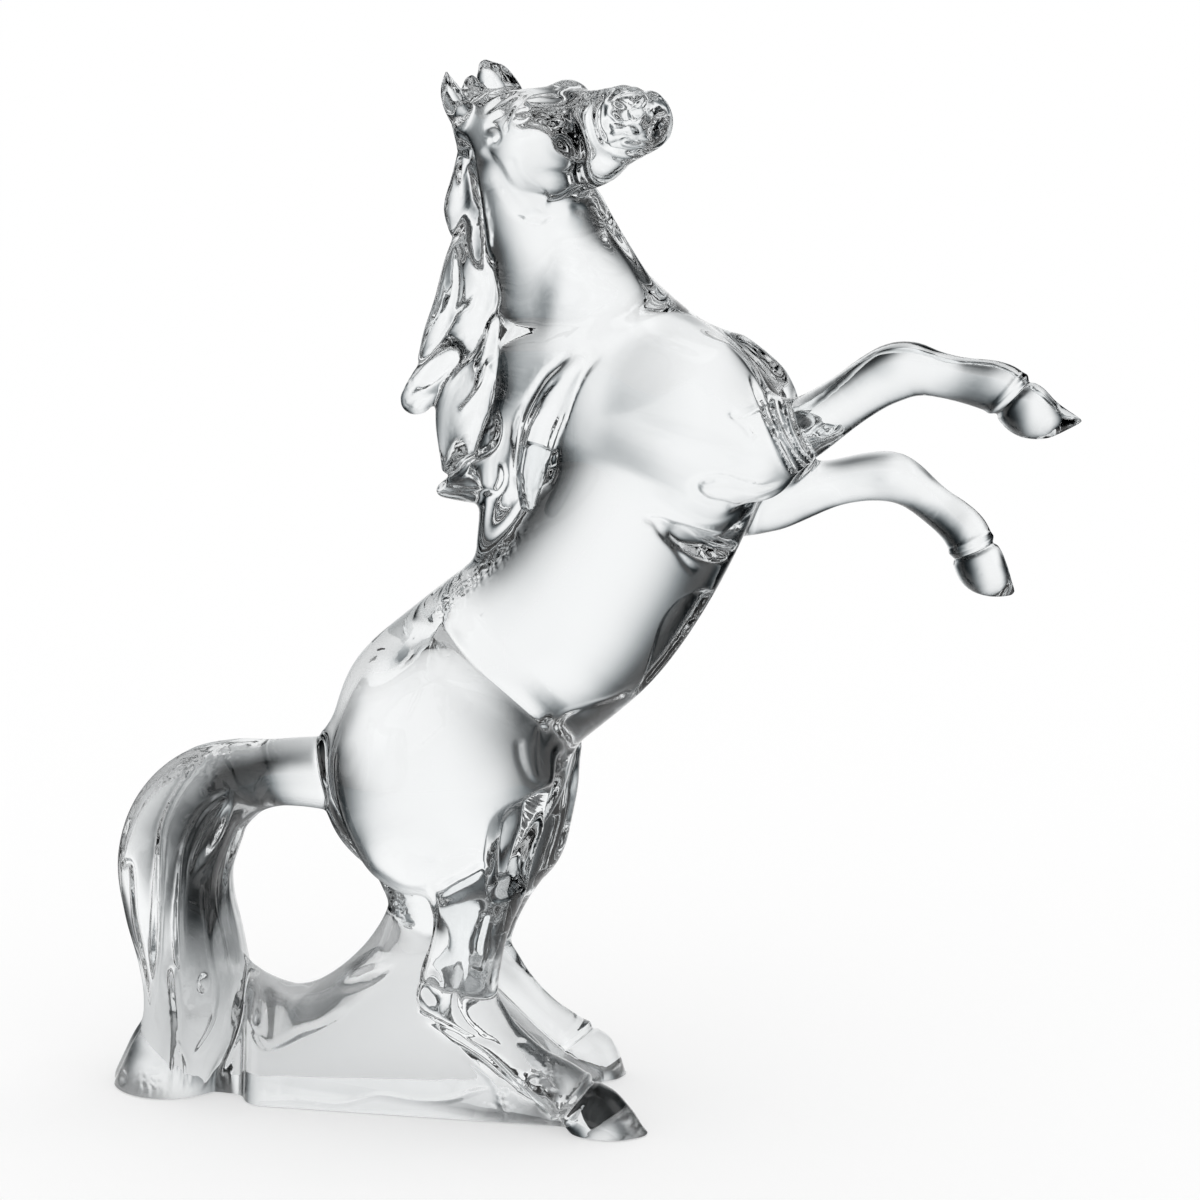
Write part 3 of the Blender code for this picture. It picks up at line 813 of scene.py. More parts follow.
# %% Creases of the body
CREASES = (
    (6.0, 2.2, ((28, 308), (29.5, 299), (31, 293), (32.5, 287), (34, 280), (35.5, 272), (38, 264))),
    (1.1, 3.2, ((24, 158), (31, 151.5), (40, 143.7), (47.6, 137.3), (52.5, 132.3), (57, 127))),
    (0.5, 1.2, ((38, 146), (47, 138), (52.5, 132.3), (57, 127), (58, 123))),
    (0.9, 1.1, ((51, 125), (52, 119), (55, 112), (58, 109))),
    (1.0, 1.4, ((57, 128), (57, 118.5), (58.6, 110))),
    (0.6, 1.0, ((59.5, 123), (60.5, 127.5), (64, 131.5), (71.5, 134), (78.5, 136), (84, 139.5))),
    (1.3, 1.5, ((106, 200), (106.5, 206), (111, 208), (116, 208), (121.5, 206), (127, 205), (133, 208))),
    (1.2, 1.3, ((105, 205), (109, 200.5), (114, 199), (118, 197.5), (127, 201), (132, 203), (136, 207))),
    (1.0, 1.0, ((89, 195), (93, 193), (95, 190), (98.7, 185.5), (101.5, 180), (104, 176))),
    (1.0, 1.0, ((89, 195), (95, 193.8), (98, 192), (102, 190.2), (107, 188.5), (112, 187.5), (116, 193))),
    (1.0, 0.9, ((116, 228), (121, 224.1), (124, 220))),
    (1.0, 0.9, ((116, 228), (119.5, 227.3), (123.2, 228.5), (127, 231))),
    (0.6, 1.0, ((49, 187), (45, 182), (39, 176), (33, 170), (29, 166))),
    (0.9, 1.1, ((71, 288), (74, 281), (76, 277), (78.6, 273), (81, 269.4), (84.7, 264), (88.5, 259))),
)
HIND_LEG_LINES = (
    (1.1, 1.0, ((25, 79), (25, 73.5), (24.4, 69.5), (23, 63.5), (21.2, 57), (20, 51.3), (18.7, 46.7),
        (17, 41), (15.5, 33))),
    (1.0, 1.0, ((15, 33), (18, 31.5), (25, 31.6), (31, 29.9), (36.7, 26.5), (41.4, 23), (45, 19.4),
        (49, 15.3), (53, 11), (56, 4))),
    (0.8, 0.9, ((17, 36), (24, 34), (29.5, 32.2), (35, 29.8), (40, 29.2), (43, 28.8), (47, 26))),
    (0.9, 1.1, ((34.3, 56), (34.1, 51), (33.7, 48.4), (32.4, 44), (32.2, 40.8), (33, 37.5), (35.4, 33.8),
        (39, 30.8), (43, 28))),
    (1.5, 1.0, ((42.3, 71), (40.3, 65), (38.9, 60), (38.6, 55))),
    (0.8, 0.8, ((36, 53), (38.6, 50.9), (40.2, 50.4), (41, 53), (42.2, 57.8), (43.4, 65.6), (45.6, 73))),
    (1.1, 1.6, ((23, 75), (28, 77), (31, 79), (33.6, 80.7), (36.7, 82.4), (40, 84.5), (42, 86.5))),
    (0.8, 0.8, ((51, 13), (54, 18), (56.7, 19.2), (60.6, 17.4), (63, 14.5))),
    (0.8, 0.8, ((50, 28.5), (53.8, 27.5), (55.7, 25.8), (57.5, 26), (60, 22.5))),
    (0.7, 0.9, ((26, 30), (29.8, 22), (36.5, 16), (40.5, 12.5), (43.2, 7), (45, 1))),
)
TAIL_VALLEYS = (
    (1.5, 1.3, ((-54, 110), (-59.3, 105.2), (-63, 100), (-66, 93.7), (-68, 86.5), (-68.5, 74),
        (-69.2, 57.7), (-70.5, 45), (-73, 28))),
    (1.3, 1.1, ((-46, 100), (-53.8, 94.4), (-58, 88), (-61, 79.2), (-62.1, 68.2), (-62.4, 55.5),
        (-61.2, 37))),
    (1.2, 1.3, ((-44, 93), (-47, 84), (-50, 76), (-52, 67), (-52.3, 58.4), (-51.7, 52), (-50, 43.4),
        (-47.7, 37))),
    (0.9, 1.0, ((-54, 60), (-52.3, 46), (-50.3, 35), (-50.8, 26.7), (-53.2, 20), (-58, 13))),
    (1.5, 1.2, ((-46, 44), (-45.6, 38), (-45.4, 31), (-45.2, 25.5), (-47.6, 17), (-51.5, 8.3), (-56, 0))),
    (1.0, 1.0, ((-78, 96), (-81, 87), (-83.5, 80), (-83, 74), (-78.5, 74), (-77.2, 56.5), (-74.7, 41),
        (-72, 26))),
    (1.1, 1.0, ((-64, 44), (-63.4, 34), (-62.7, 26), (-63.2, 15), (-64, 1))),
    (0.8, 0.8, ((-63, 19), (-61, 16), (-59.6, 11), (-60, 2))),
)
WEDGE_LINES = (
    (0.8, 1.0, ((-41, 25), (-36.6, 21), (-33, 18.5), (-28, 20.5), (-23, 23.3), (-16.5, 26), (-11.5, 28.8),
        (-6, 32.5))),
    (0.5, 0.7, ((-40, 1.0), (-23.5, 2.5), (-18, 2.5), (-8.6, 2.4), (-2, 4.2), (5, 5.7), (17, 4.8), (27, 6),
        (35, 9), (43, 10.5))),
)
LEAF_STRANDS = (
    (1.0, 1.0, ((67, 244), (62, 240), (57.5, 236), (54, 231), (51, 226), (49, 220), (48.5, 213),
        (48.5, 204), (50, 199))),
    (0.7, 0.8, ((64, 237), (59, 232), (56, 226), (53.5, 220), (52, 213), (50.5, 206))),
    (0.7, 1.2, ((76, 243), (71, 238.5), (67, 231), (64, 223), (62, 217), (61, 209), (59, 203), (54, 201))),
)
MANE_STRANDS = (
    (1.0, 0.9, ((33, 281), (35.5, 275), (38, 268), (40, 261), (40.5, 257), (38.5, 251))),
    (0.9, 0.9, ((36, 269), (38, 264.5), (39, 260), (38.5, 255), (36.5, 249), (36, 244))),
    (1.4, 1.0, ((36, 262), (32, 255), (29, 253), (26.5, 249.5), (22.5, 244), (16, 237), (11, 231))),
    (1.3, 1.0, ((36.5, 246), (32, 240), (28.5, 237), (24, 232), (19, 229), (14, 228.5))),
    (0.9, 1.0, ((39, 240), (37.5, 234), (36, 230), (33, 226), (30, 223))),
    (1.4, 1.0, ((22, 204), (27, 206), (32, 208), (37, 210.5), (40.5, 213), (42, 216), (42, 220),
        (40.5, 224))),
    (1.0, 0.9, ((22, 198), (27, 198), (32, 198), (37, 199), (42, 199.5), (44.5, 204), (43.5, 209))),
    (0.9, 0.9, ((27, 274), (28.5, 266), (28.5, 258), (26, 250))),
)
normals = normal_array(skin)
relief = np.zeros(len(points))
for side in (NEAR, FAR):
    on_side = facing(points, normals, side)
    add_grooves(relief, side_view(points), on_side, (*CREASES, *MANE_STRANDS, *TAIL_VALLEYS), side)
on_near_side = facing(points, normals, NEAR)
add_grooves(relief, side_view(points), on_near_side, (*LEAF_STRANDS, *HIND_LEG_LINES, *WEDGE_LINES))
points = carved(skin, relief)
print("creases down to", round(float(-relief.min()), 2), "units deep")

# %% [markdown]
# Where the near foreleg leaves the body, the real one has a band of fine ridges round it, as if the hot
# crystal had been pushed together there. The ridges are rings across the leg.

# %% Ridges round the root of the near foreleg
FIRST_RING = (129.5, -22, 217.5)
OUTWARD = (0.9, 0.43)  # along the leg, in x and z
COLLAR_LENGTH = 9.5
COLLAR_REACH = 23  # how far from the leg's middle line it ends
RIDGE_PITCH = 2.7
RIDGE_HEIGHT = 1.9


def collar(points, normals):
    """Relief = height * (|cos(pi * place along the leg / pitch)| - 0.75), on a band round the leg's root.
    The place wanders a little with the turn round the leg."""
    offset = points - np.array(FIRST_RING)
    along = offset[:, 0] * OUTWARD[0] + offset[:, 2] * OUTWARD[1]
    around = np.arctan2(offset[:, 1], offset[:, 2] * OUTWARD[0] - offset[:, 0] * OUTWARD[1])
    wavy = along + 0.3 * np.sin(2 * around + 0.7 * along)
    band = rise(along, -0.8, 0.8) * (1 - rise(along, COLLAR_LENGTH - 1, COLLAR_LENGTH + 0.6))
    reach = np.linalg.norm(offset - along[:, None] * np.array([OUTWARD[0], 0, OUTWARD[1]]), axis=1)
    band *= 1 - rise(reach, COLLAR_REACH - 4, COLLAR_REACH)
    band *= rise(-normals[:, 1], 0.05, 0.5)
    return RIDGE_HEIGHT * band * (np.abs(np.cos(math.pi * wavy / RIDGE_PITCH)) - 0.75)


relief = collar(points, normal_array(skin))
points = carved(skin, relief)
print("ridges", round(float(relief.max() - relief.min()), 2), "units from valley to crest")

# %% [markdown]
# The head, in its own frame: the eye under its lids, the ridge of the brow, the long grooves of the
# forehead, the cheek's round edge, nostrils with rolled rims, the mouth, the chin and the cup of the near
# ear. The rows are like those of the body.

# %% The horse's face
FACE_SWELLS = (
    ("eyeball", (26.8, 9), (2.8, 1.5), 1.1, 8),
    ("brow", (27, 13), (6, 1.6), 0.6, 8),
    ("hollow over the eye", (17, 8.5), (4, 2.6), -1.1, 20),
    ("cheekbone", (33, 4.5), (8, 2), 0.7, -14),
    ("cheek", (22, -9), (9, 8), 1.2, 0),
    ("hollow of the nose", (46, 0.5), (4.5, 7), -1.6, 0),
    ("nostril", (63.5, 6), (3, 2.2), -2.4, 15),
    ("rim of the nostril", (59, 7.5), (2.2, 3.6), 0.9, 20),
    ("upper lip", (63, -1.5), (5, 2.2), 0.9, -12),
    ("lower lip", (59, -9.5), (6, 2), 0.8, -14),
    ("chin", (50, -14.5), (4.5, 2.6), 0.7, 25),
    ("pit behind the jaw", (21, -23), (5, 1.8), -1.8, -10),
)
FACE_LINES = (
    (1.0, 0.6, ((22.5, 8), (25, 10.2), (28, 11.2), (31, 10.2))),
    (0.9, 0.6, ((23, 7.8), (25, 7.2), (28, 7.4), (31, 8.8))),
    (0.9, 0.9, ((29, 12.4), (24, 11.4), (21, 8.5), (19.5, 5.7), (20.5, 4))),
    (0.9, 1.0, ((10, 9.5), (16.5, 13), (23.5, 13.8), (31.5, 14), (38, 14.5))),
    (0.7, 0.8, ((12, 7.5), (18, 9.5), (20, 11.5), (26, 12.4))),
    (0.9, 1.0, ((10.5, 6), (14.5, 5.6), (16.5, 3), (14, 1), (11.5, 2))),
    (0.7, 1.6, ((26, 5), (31.5, 4), (34, 0.5), (34, -3.5), (36, -7), (39, -10))),
    (0.9, 2.4, ((8.5, 0), (11.5, -6), (13, -11), (15, -16), (17.5, -20.5), (23, -22.5))),
    (0.5, 2.2, ((19, -3), (20.5, -9), (23, -14), (27, -18))),
    (1.2, 1.2, ((24, -20.5), (29, -21), (34, -19), (40, -17.5))),
    (0.8, 0.9, ((36.5, 14), (42, 13.5), (46, 12), (49, 10.5), (53, 10.5))),
    (0.7, 0.8, ((36, 8.6), (42, 7.8), (46, 9.5), (50, 8))),
    (1.2, 1.1, ((56.5, 10.8), (53.5, 9), (51.5, 5.5), (51, 1.5), (51, -2), (51.5, -5.5))),
    (1.3, 0.8, ((50.5, -4.6), (55, -5.8), (59, -7), (63.5, -8.4), (67, -8.6))),
    (0.8, 0.7, ((50.5, -2.2), (53, -3.8), (58, -3.6), (62.5, -3.2), (66, -5))),
    (0.8, 0.7, ((57, 7), (60, 10), (65, 10.2), (69, 8), (70, 4.5), (66, 2), (60, 2.6), (57, 5))),
    (0.7, 0.6, ((56, 0.4), (61, 1), (66, 0.6), (67.5, -2))),
    (0.6, 0.6, ((56, -1.2), (61, -1), (65, -1.6), (67, -3.5))),
    (0.7, 0.7, ((54, 8), (53.5, 4), (54, 0), (55, -3))),
    (0.8, 0.8, ((43, -19), (45.5, -18.3), (50, -15.6), (54, -13.6))),
    (0.8, 0.8, ((52, -9), (56, -11), (60, -12), (65, -11.5))),
)


def seen_in_head(points, mesh):
    """The points and their outward directions in the head's frame."""
    return in_head(points), normal_array(mesh) @ HEAD_FRAME


face, face_normals = seen_in_head(points, skin)
relief = np.zeros(len(points))
for side in (NEAR, FAR):
    on_side = on_head(points) * facing(face, face_normals, side)
    add_swells(relief, side_view(face), on_side, FACE_SWELLS, SOFTNESS[side][0])
    add_grooves(relief, side_view(face), on_side, FACE_LINES, side)
points = carved(skin, relief)
print("face relief from", round(float(relief.min()), 2), "to", round(float(relief.max()), 2), "units")

# %% The cup of the near ear
EAR_CUP = ("cup of the near ear", (1, 16.5), (1.8, 4.6), -3.0, 4)
face, face_normals = seen_in_head(points, skin)
outside = on_head(points) * rise(-face_normals[:, 1], 0.1, 0.5) * rise(-face[:, 1], 6.5, 8.5)
relief = np.zeros(len(points))
add_swells(relief, side_view(face), outside, [EAR_CUP])
points = carved(skin, relief)
print("ear cup", round(float(-relief.min()), 2), "units deep")

# %% [markdown]
# In some places the hot crystal was pinched and folded, such as the muzzle, the throat under the jaw and the
# tips of the locks. There the skin is rumpled in small waves, each of which bends the light another way.

# %% Rumpled places
FACE_WAVE = 6.5  # the length of a wave on the face
BODY_WAVE = 2.6


def rumples(points, length):
    """Waves of about one length across: the mean of three sines, each along another direction and each
    shifted by a slower sine of the place."""
    x, y, z = (2 * math.pi / length * points).T
    first = np.sin(x + 0.6 * z + 1.9 * np.sin(0.47 * z - 0.31 * y))
    second = np.sin(0.9 * z - 0.5 * x + 0.7 * y + 1.7 * np.sin(0.41 * x + 0.2))
    third = np.sin(1.1 * y + 0.4 * z + 1.8 * np.sin(0.37 * x + 0.53 * z))
    return (first + second + third) / 3


RUMPLED_FACE = (  # centre in the head's x and z, radii, height, lean
    ((63, 1), (7, 9), 1.7, 0),
    ((33, 15), (15, 2), 0.35, 4),
    ((29, -23.5), (11, 3), 0.5, 4),
)
RUMPLED_BODY = (  # centre in x and z, radii, height, lean
    ((14, 228), (4.5, 5), 0.35, -30),
    ((40, 218), (2.5, 5), 0.3, -10),
    ((52, 199), (2.5, 7), 0.35, -30),
    ((100, 158), (4, 9), 0.25, -26),
    ((37, 174), (17, 2.6), 0.5, 42),
    ((-62, 104), (16, 6), 0.2, 25),
    ((7, 65), (6, 4), 0.5, 0),
    ((58, 19), (6, 5), 0.45, -30),
    ((44, 8), (5, 5), 0.35, 0),
    ((-72, 4), (5, 5), 0.4, 0),
)
face, face_normals = seen_in_head(points, skin)
on_side = facing(points, normal_array(skin), NEAR)
on_muzzle = on_head(points) * rise(face[:, 0], 48, 52)
body_waves, face_waves = rumples(points, BODY_WAVE), rumples(face, FACE_WAVE)
relief = np.zeros(len(points))
for centre, radii, height, lean in RUMPLED_BODY:
    relief += on_side * swell(side_view(points), centre, radii, height, lean) * body_waves
for side in (NEAR, FAR):
    on_cheek = facing(face, face_normals, side) * (on_head(points) if side == NEAR else on_muzzle)
    for centre, radii, height, lean in RUMPLED_FACE:
        relief += on_cheek * swell(side_view(face), centre, radii, height, lean) * face_waves
points = carved(skin, relief)
print("rumples up to", round(float(relief.max()), 2), "units high")

# %% [markdown]
# The hooves are set off from the legs by a ring, the coronet. A groove across a limb is a plane: each is
# given by a place and the direction that the limb runs in there. A low lip stands above it.

# %% Coronets
LIP_SHARE = 0.4  # the lip's height, as a share of the groove's depth
LIP_GAP = 2.2  # from the groove to the lip, in widths of the groove
RINGS = (  # place, direction in x and z, depth, width, how far round it reaches
    ((199.5, -25, 233.5), (0.72, -0.7), 0.9, 0.9, 13),
    ((183, 25, 178.5), (0.4, -0.92), 0.9, 0.9, 12),
    ((69.5, -27, 11), (0.77, -0.64), 1.1, 1.0, 14),
    ((59, 28, 13.5), (0.6, -0.8), 1.0, 1.0, 13),
)
relief = np.zeros(len(points))
for place, outward, depth, width, reach in RINGS:
    offset = points - np.array(place)
    along = offset[:, 0] * outward[0] + offset[:, 2] * outward[1]
    nearby = 1 - rise(np.linalg.norm(offset, axis=1), reach - 2, reach)
    relief -= depth * nearby * np.exp(-((along / width) ** 2))
    relief += LIP_SHARE * depth * nearby * np.exp(-(((along + LIP_GAP * width) / width) ** 2))
points = carved(skin, relief)
points = softened(points, edge_array(skin), 0.5, 2)
set_points(skin, points)
print(len(RINGS), "coronets")

# %% [markdown]
# The underside is ground flat: everything below the table is cut away and the cut is filled. Then faces are
# merged where the skin is almost flat, because a piece in the library stays under 200,000 triangles, and
# the whole is brought from units to metres.

# %% The flat underside, fewer faces and real size
MOST_TRIANGLES = 190_000


def cut_at_table(mesh):
    """Cuts the mesh at height 0, throws away what is below, and fills the cut."""
    with open_shape(mesh) as shape:
        everything = [*shape.verts, *shape.edges, *shape.faces]
        cut = bmesh.ops.bisect_plane(
            shape, geom=everything, dist=1e-5, plane_co=(0, 0, 0), plane_no=(0, 0, 1), clear_inner=True
        )
        rim = [part for part in cut["geom_cut"] if isinstance(part, bmesh.types.BMEdge)]
        bmesh.ops.contextual_create(shape, geom=rim)
        bmesh.ops.triangulate(shape, faces=[face for face in shape.faces if len(face.verts) > 4])


def triangle_count(mesh):
    """A face of n corners is n - 2 triangles."""
    return sum(len(face.vertices) - 2 for face in mesh.polygons)


def thinned(mesh, most):
    """The mesh with its flattest faces merged until no more than most triangles are left."""
    full = put_in_scene("full_skin", mesh)
    fewer = full.modifiers.new("fewer_faces", "DECIMATE")
    fewer.ratio = min(1.0, most / triangle_count(mesh))
    fewer.use_collapse_triangulate = True
    return mesh_after_modifiers(full)


def skin_numbers(mesh):
    """For each point a number that all points of its own connected skin share. In each round both ends of an
    edge take the lower number of the two, and every point takes the number of the point it names."""
    ends = edge_array(mesh)
    numbers = np.arange(len(mesh.vertices))
    while True:
        lower = numbers[ends].min(axis=1)
        renewed = numbers.copy()
        np.minimum.at(renewed, ends[:, 0], lower)
        np.minimum.at(renewed, ends[:, 1], lower)
        renewed = renewed[renewed]
        if np.array_equal(renewed, numbers):
            return numbers
        numbers = renewed


def drop_crumbs(mesh):
    """Where limbs cross, a tiny hollow can be left inside the crystal. All but the largest skin goes."""
    numbers = skin_numbers(mesh)
    crumbs = np.flatnonzero(numbers != np.bincount(numbers).argmax())
    with open_shape(mesh) as shape:
        bmesh.ops.delete(shape, geom=[shape.verts[number] for number in crumbs], context="VERTS")
    return len(crumbs)


cut_at_table(skin)
skin = thinned(skin, MOST_TRIANGLES)
print("points of hollows taken away:", drop_crumbs(skin))
set_points(skin, point_array(skin) * UNIT)
print("thinned skin:", triangle_count(skin), "triangles")

# %% One closed skin
SHARP_EDGE = math.radians(50)


def check_closed(mesh):
    """How many edges haven't two faces, and the volume. A closed skin has none."""
    shape = bmesh.new()
    shape.from_mesh(mesh)
    open_edges = [edge for edge in shape.edges if len(edge.link_faces) != 2]
    volume = shape.calc_volume(signed=True)
    shape.free()
    return len(open_edges), volume


open_edges, volume = check_closed(skin)
print("edges without two faces:", open_edges, "and volume", round(volume * 1000, 3), "litres")

horse = put_in_scene("clear_crystal_horse", skin)
skin.shade_smooth()
skin.set_sharp_from_angle(angle=SHARP_EDGE)

# %% [markdown]
# A material is a tree of nodes. A few short functions make the nodes that come up again and again.

# %% Tools for materials
def new_material(name):
    """A material with a plain shader, and the parts of its tree."""
    material = bpy.data.materials.new(name)
    material.use_nodes = True
    return material, material.node_tree, material.node_tree.nodes["Principled BSDF"]


def new_group(name, given, found):
    """A group with the given inputs and the outputs to be found, each with its kind of value."""
    group = bpy.data.node_groups.new(name, "ShaderNodeTree")
    for way, sockets in (("INPUT", given), ("OUTPUT", found)):
        for socket, kind in sockets.items():
            group.interface.new_socket(socket, in_out=way, socket_type="NodeSocket" + kind)
    return group, group.nodes.new("NodeGroupInput").outputs, group.nodes.new("NodeGroupOutput").inputs


def set_inputs(tree, node, values):
    """Gives each named input of the node its value: a plain one, or another node's output."""
    for name, value in values.items():
        if isinstance(value, bpy.types.NodeSocket):
            tree.links.new(value, node.inputs[name])
        else:
            node.inputs[name].default_value = value
    return node


def math_node(tree, operation, *values):
    """A Math node of the tree: each value is a number or another node's output."""
    node = tree.nodes.new("ShaderNodeMath")
    node.operation = operation
    return set_inputs(tree, node, dict(enumerate(values))).outputs[0]


def own_place(tree):
    """The place in the piece's own coordinates."""
    return tree.nodes.new("ShaderNodeTexCoord").outputs["Object"]


def split_place(tree, place):
    """The X, Y and Z of a place."""
    return set_inputs(tree, tree.nodes.new("ShaderNodeSeparateXYZ"), {"Vector": place}).outputs


def soft_curve(tree, value, stops):
    """A smooth curve through the stops, as the brightness of a colour ramp."""
    node = set_inputs(tree, tree.nodes.new("ShaderNodeValToRGB"), {"Fac": value})
    node.color_ramp.interpolation = "B_SPLINE"
    marks = node.color_ramp.elements
    while len(marks) < len(stops):
        marks.new(0.5)
    for mark, (place, brightness) in zip(marks, stops):
        mark.position = place
        mark.color = (brightness, brightness, brightness, 1.0)
    return node.outputs["Color"]


def step(tree, value, start, end, low, high, kind="SMOOTHSTEP"):
    """From low to high while the value goes from start to end, in an S or, if the kind is LINEAR, evenly."""
    node = tree.nodes.new("ShaderNodeMapRange")
    node.interpolation_type = kind
    limits = {"Value": value, "From Min": start, "From Max": end, "To Min": low, "To Max": high}
    return set_inputs(tree, node, limits).outputs["Result"]


# %% [markdown]
# Clear crystal with lead or barium bends light more than window glass: its index of refraction is about
# 1.55. Poured and fire-polished, it isn't optically flat: its surface has very long low waves, which make
# the light inside it swim. The underside is ground, so it is a little rougher than the rest.

# %% The crystal
CRYSTAL_INDEX = 1.545
CLEAR = (0.975, 0.988, 0.992, 1.0)  # a trace of blue
WAVE_LENGTH = 0.03  # metres
WAVE_HEIGHT = 0.002
WAVE_STRENGTH = 0.1
GROUND_HEIGHT = 0.0002  # what lies lower counts as the underside
GROUND_ROUGHNESS = 0.3


def crystal_material():
    """Clear glass by plain values on the shader, with waves in its surface and a ground underside. The waves
    are a normal. Their height = noise of the place."""
    material, tree, shader = new_material("clear_crystal")
    place = own_place(tree)
    height = split_place(tree, place)["Z"]
    noise = set_inputs(tree, tree.nodes.new("ShaderNodeTexNoise"), {
        "Vector": place, "Scale": 1.0 / WAVE_LENGTH, "Detail": 1.0,
    })
    waves = set_inputs(tree, tree.nodes.new("ShaderNodeBump"), {
        "Strength": WAVE_STRENGTH, "Distance": WAVE_HEIGHT, "Height": noise.outputs["Fac"],
    })
    set_inputs(tree, shader, {
        "Base Color": CLEAR,
        "Metallic": 0.0,
        "IOR": CRYSTAL_INDEX,
        "Transmission Weight": 1.0,
        "Roughness": step(tree, height, GROUND_HEIGHT, 0.0, 0.0, GROUND_ROUGHNESS, "LINEAR"),
        "Normal": waves.outputs["Normal"],
    })
    return material


crystal = crystal_material()
skin.materials.append(crystal)
print("material", crystal.name, "with index", CRYSTAL_INDEX)

# %% The horse stands for the solid
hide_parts("crystal_horse")
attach(horse, "root")

# %% [markdown]
# Clear glass has no colour of its own: all that can be seen in it is its surroundings, bent. The studio way
# to show it is the bright field. White stands behind the glass and dark stands at its corners. The middle
# of a limb passes the white straight through, and near its outline the light is bent so far that it comes
# from the dark. So the horse gets white inside and dark lines round its forms.

# %% The windows of the studio
CAMERA_TURN = math.radians(12)  # the camera stands this far from square-on, toward the forelegs' side
CAMERA_RISE = math.radians(11)
TENT_MIDDLE = 0.07  # metres along X, where the horse's middle is
TENT_RADIUS = 0.6
TENT_HEIGHT = 1.3
QUARTER = math.pi / 2
# The light of a window: (degrees from its middle, brightness). The corners between windows are dark.
WINDOW_STOPS = ((0, 1), (10, 1), (18, 0.78), (26, 0.22), (33, 0.01), (45, 0))
HEIGHT_STOPS = ((0, 1), (0.35, 1), (0.65, 0.3), (1, 0))  # (share of the tent's height, brightness)
CAMERA_SIDE = 0.35  # the brightness of the window where the photographer stands
RED_POWER, BLUE_POWER = 1.055, 0.973  # what is dark is a little cool


def window_group():
    """Four bright windows round the tent's middle, and the distance from the middle. Angle = atan2(y, x -
    middle). Window = a curve of the angle's distance from the nearest window's middle, as a share of an
    eighth turn."""
    measures = {"Brightness": "Float", "Distance": "Float"}
    group, given, found = new_group("studio windows", {"Place": "Vector"}, measures)
    split = split_place(group, given["Place"])
    x = math_node(group, "SUBTRACT", split["X"], TENT_MIDDLE)
    y = split["Y"]
    angle = math_node(group, "ARCTAN2", y, x)
    from_window = math_node(group, "SUBTRACT", angle, CAMERA_TURN)
    from_nearest = math_node(group, "WRAP", from_window, QUARTER / 2, -QUARTER / 2)
    share = math_node(group, "DIVIDE", math_node(group, "ABSOLUTE", from_nearest), QUARTER / 2)
    window = soft_curve(group, share, [(degrees / 45, brightness) for degrees, brightness in WINDOW_STOPS])
    to_camera = math_node(group, "COSINE", math_node(group, "SUBTRACT", angle, CAMERA_TURN - QUARTER))
    dimmed = math_node(group, "MULTIPLY", window, step(group, to_camera, 0.5, 0.85, 1.0, CAMERA_SIDE))
    squares = [math_node(group, "POWER", value, 2.0) for value in (x, y)]
    group.links.new(dimmed, found["Brightness"])
    group.links.new(math_node(group, "SQRT", math_node(group, "ADD", *squares)), found["Distance"])
    return group


def cool_group():
    """From a brightness to a colour that is white at 1 and a little cooler the darker it is: red =
    brightness to the power RED_POWER, green = brightness, blue = brightness to the power BLUE_POWER."""
    group, given, found = new_group("cool light", {"Brightness": "Float"}, {"Colour": "Color"})
    mixed = set_inputs(group, group.nodes.new("ShaderNodeCombineColor"), {
        "Red": math_node(group, "POWER", given["Brightness"], RED_POWER),
        "Green": given["Brightness"],
        "Blue": math_node(group, "POWER", given["Brightness"], BLUE_POWER),
    })
    group.links.new(mixed.outputs["Color"], found["Colour"])
    return group


studio_windows = window_group()
cool_light = cool_group()


def use_group(tree, group, values):
    """The outputs of a group that is set in the tree."""
    node = tree.nodes.new("ShaderNodeGroup")
    node.node_tree = group
    return set_inputs(tree, node, values).outputs


print("studio windows with", len(studio_windows.nodes), "nodes")

# %% The tent
TENT_SIDES = 180
TENT_FLOORS = 12
ROOF_LIGHT = 0.8  # the brightness of the round light in the roof
ROOF_FULL, ROOF_END = 0.4, 0.8  # how far out it is full and where it ends, as shares of the tent's radius
MARGIN = 0.001  # metres: the wall goes so far under the table, and so close to the top all is roof


def staged(name, mesh, material, only_in_glass=False):
    """Puts a thing of the stage in the scene. Only in glass: the camera looks through it, and it throws
    neither shadow nor light on the floor."""
    mesh.materials.append(material)
    thing = put_in_scene(name, mesh)
    if only_in_glass:
        thing.visible_camera = thing.visible_diffuse = thing.visible_shadow = False
    return thing


def drum_mesh(name, radius, height, sides=TENT_SIDES, floors=TENT_FLOORS):
    """A round wall and a flat roof. Point (floor, side) = (middle + radius cos turn, radius sin turn, z)."""
    turn = 2 * math.pi * np.arange(sides) / sides
    turn, z = np.meshgrid(turn, np.linspace(-MARGIN, height, floors))
    wall = np.stack([TENT_MIDDLE + radius * np.cos(turn), radius * np.sin(turn), z], -1)
    floor_start = np.arange(floors - 1)[:, None] * sides
    start = (floor_start + np.arange(sides)).ravel()
    beside = (floor_start + (np.arange(sides) + 1) % sides).ravel()
    quads = np.stack([start, beside, beside + sides, start + sides], -1).tolist()
    roof = list(range((floors - 1) * sides, floors * sides))
    return new_mesh(name, wall.reshape(-1, 3).tolist(), [*quads, roof])


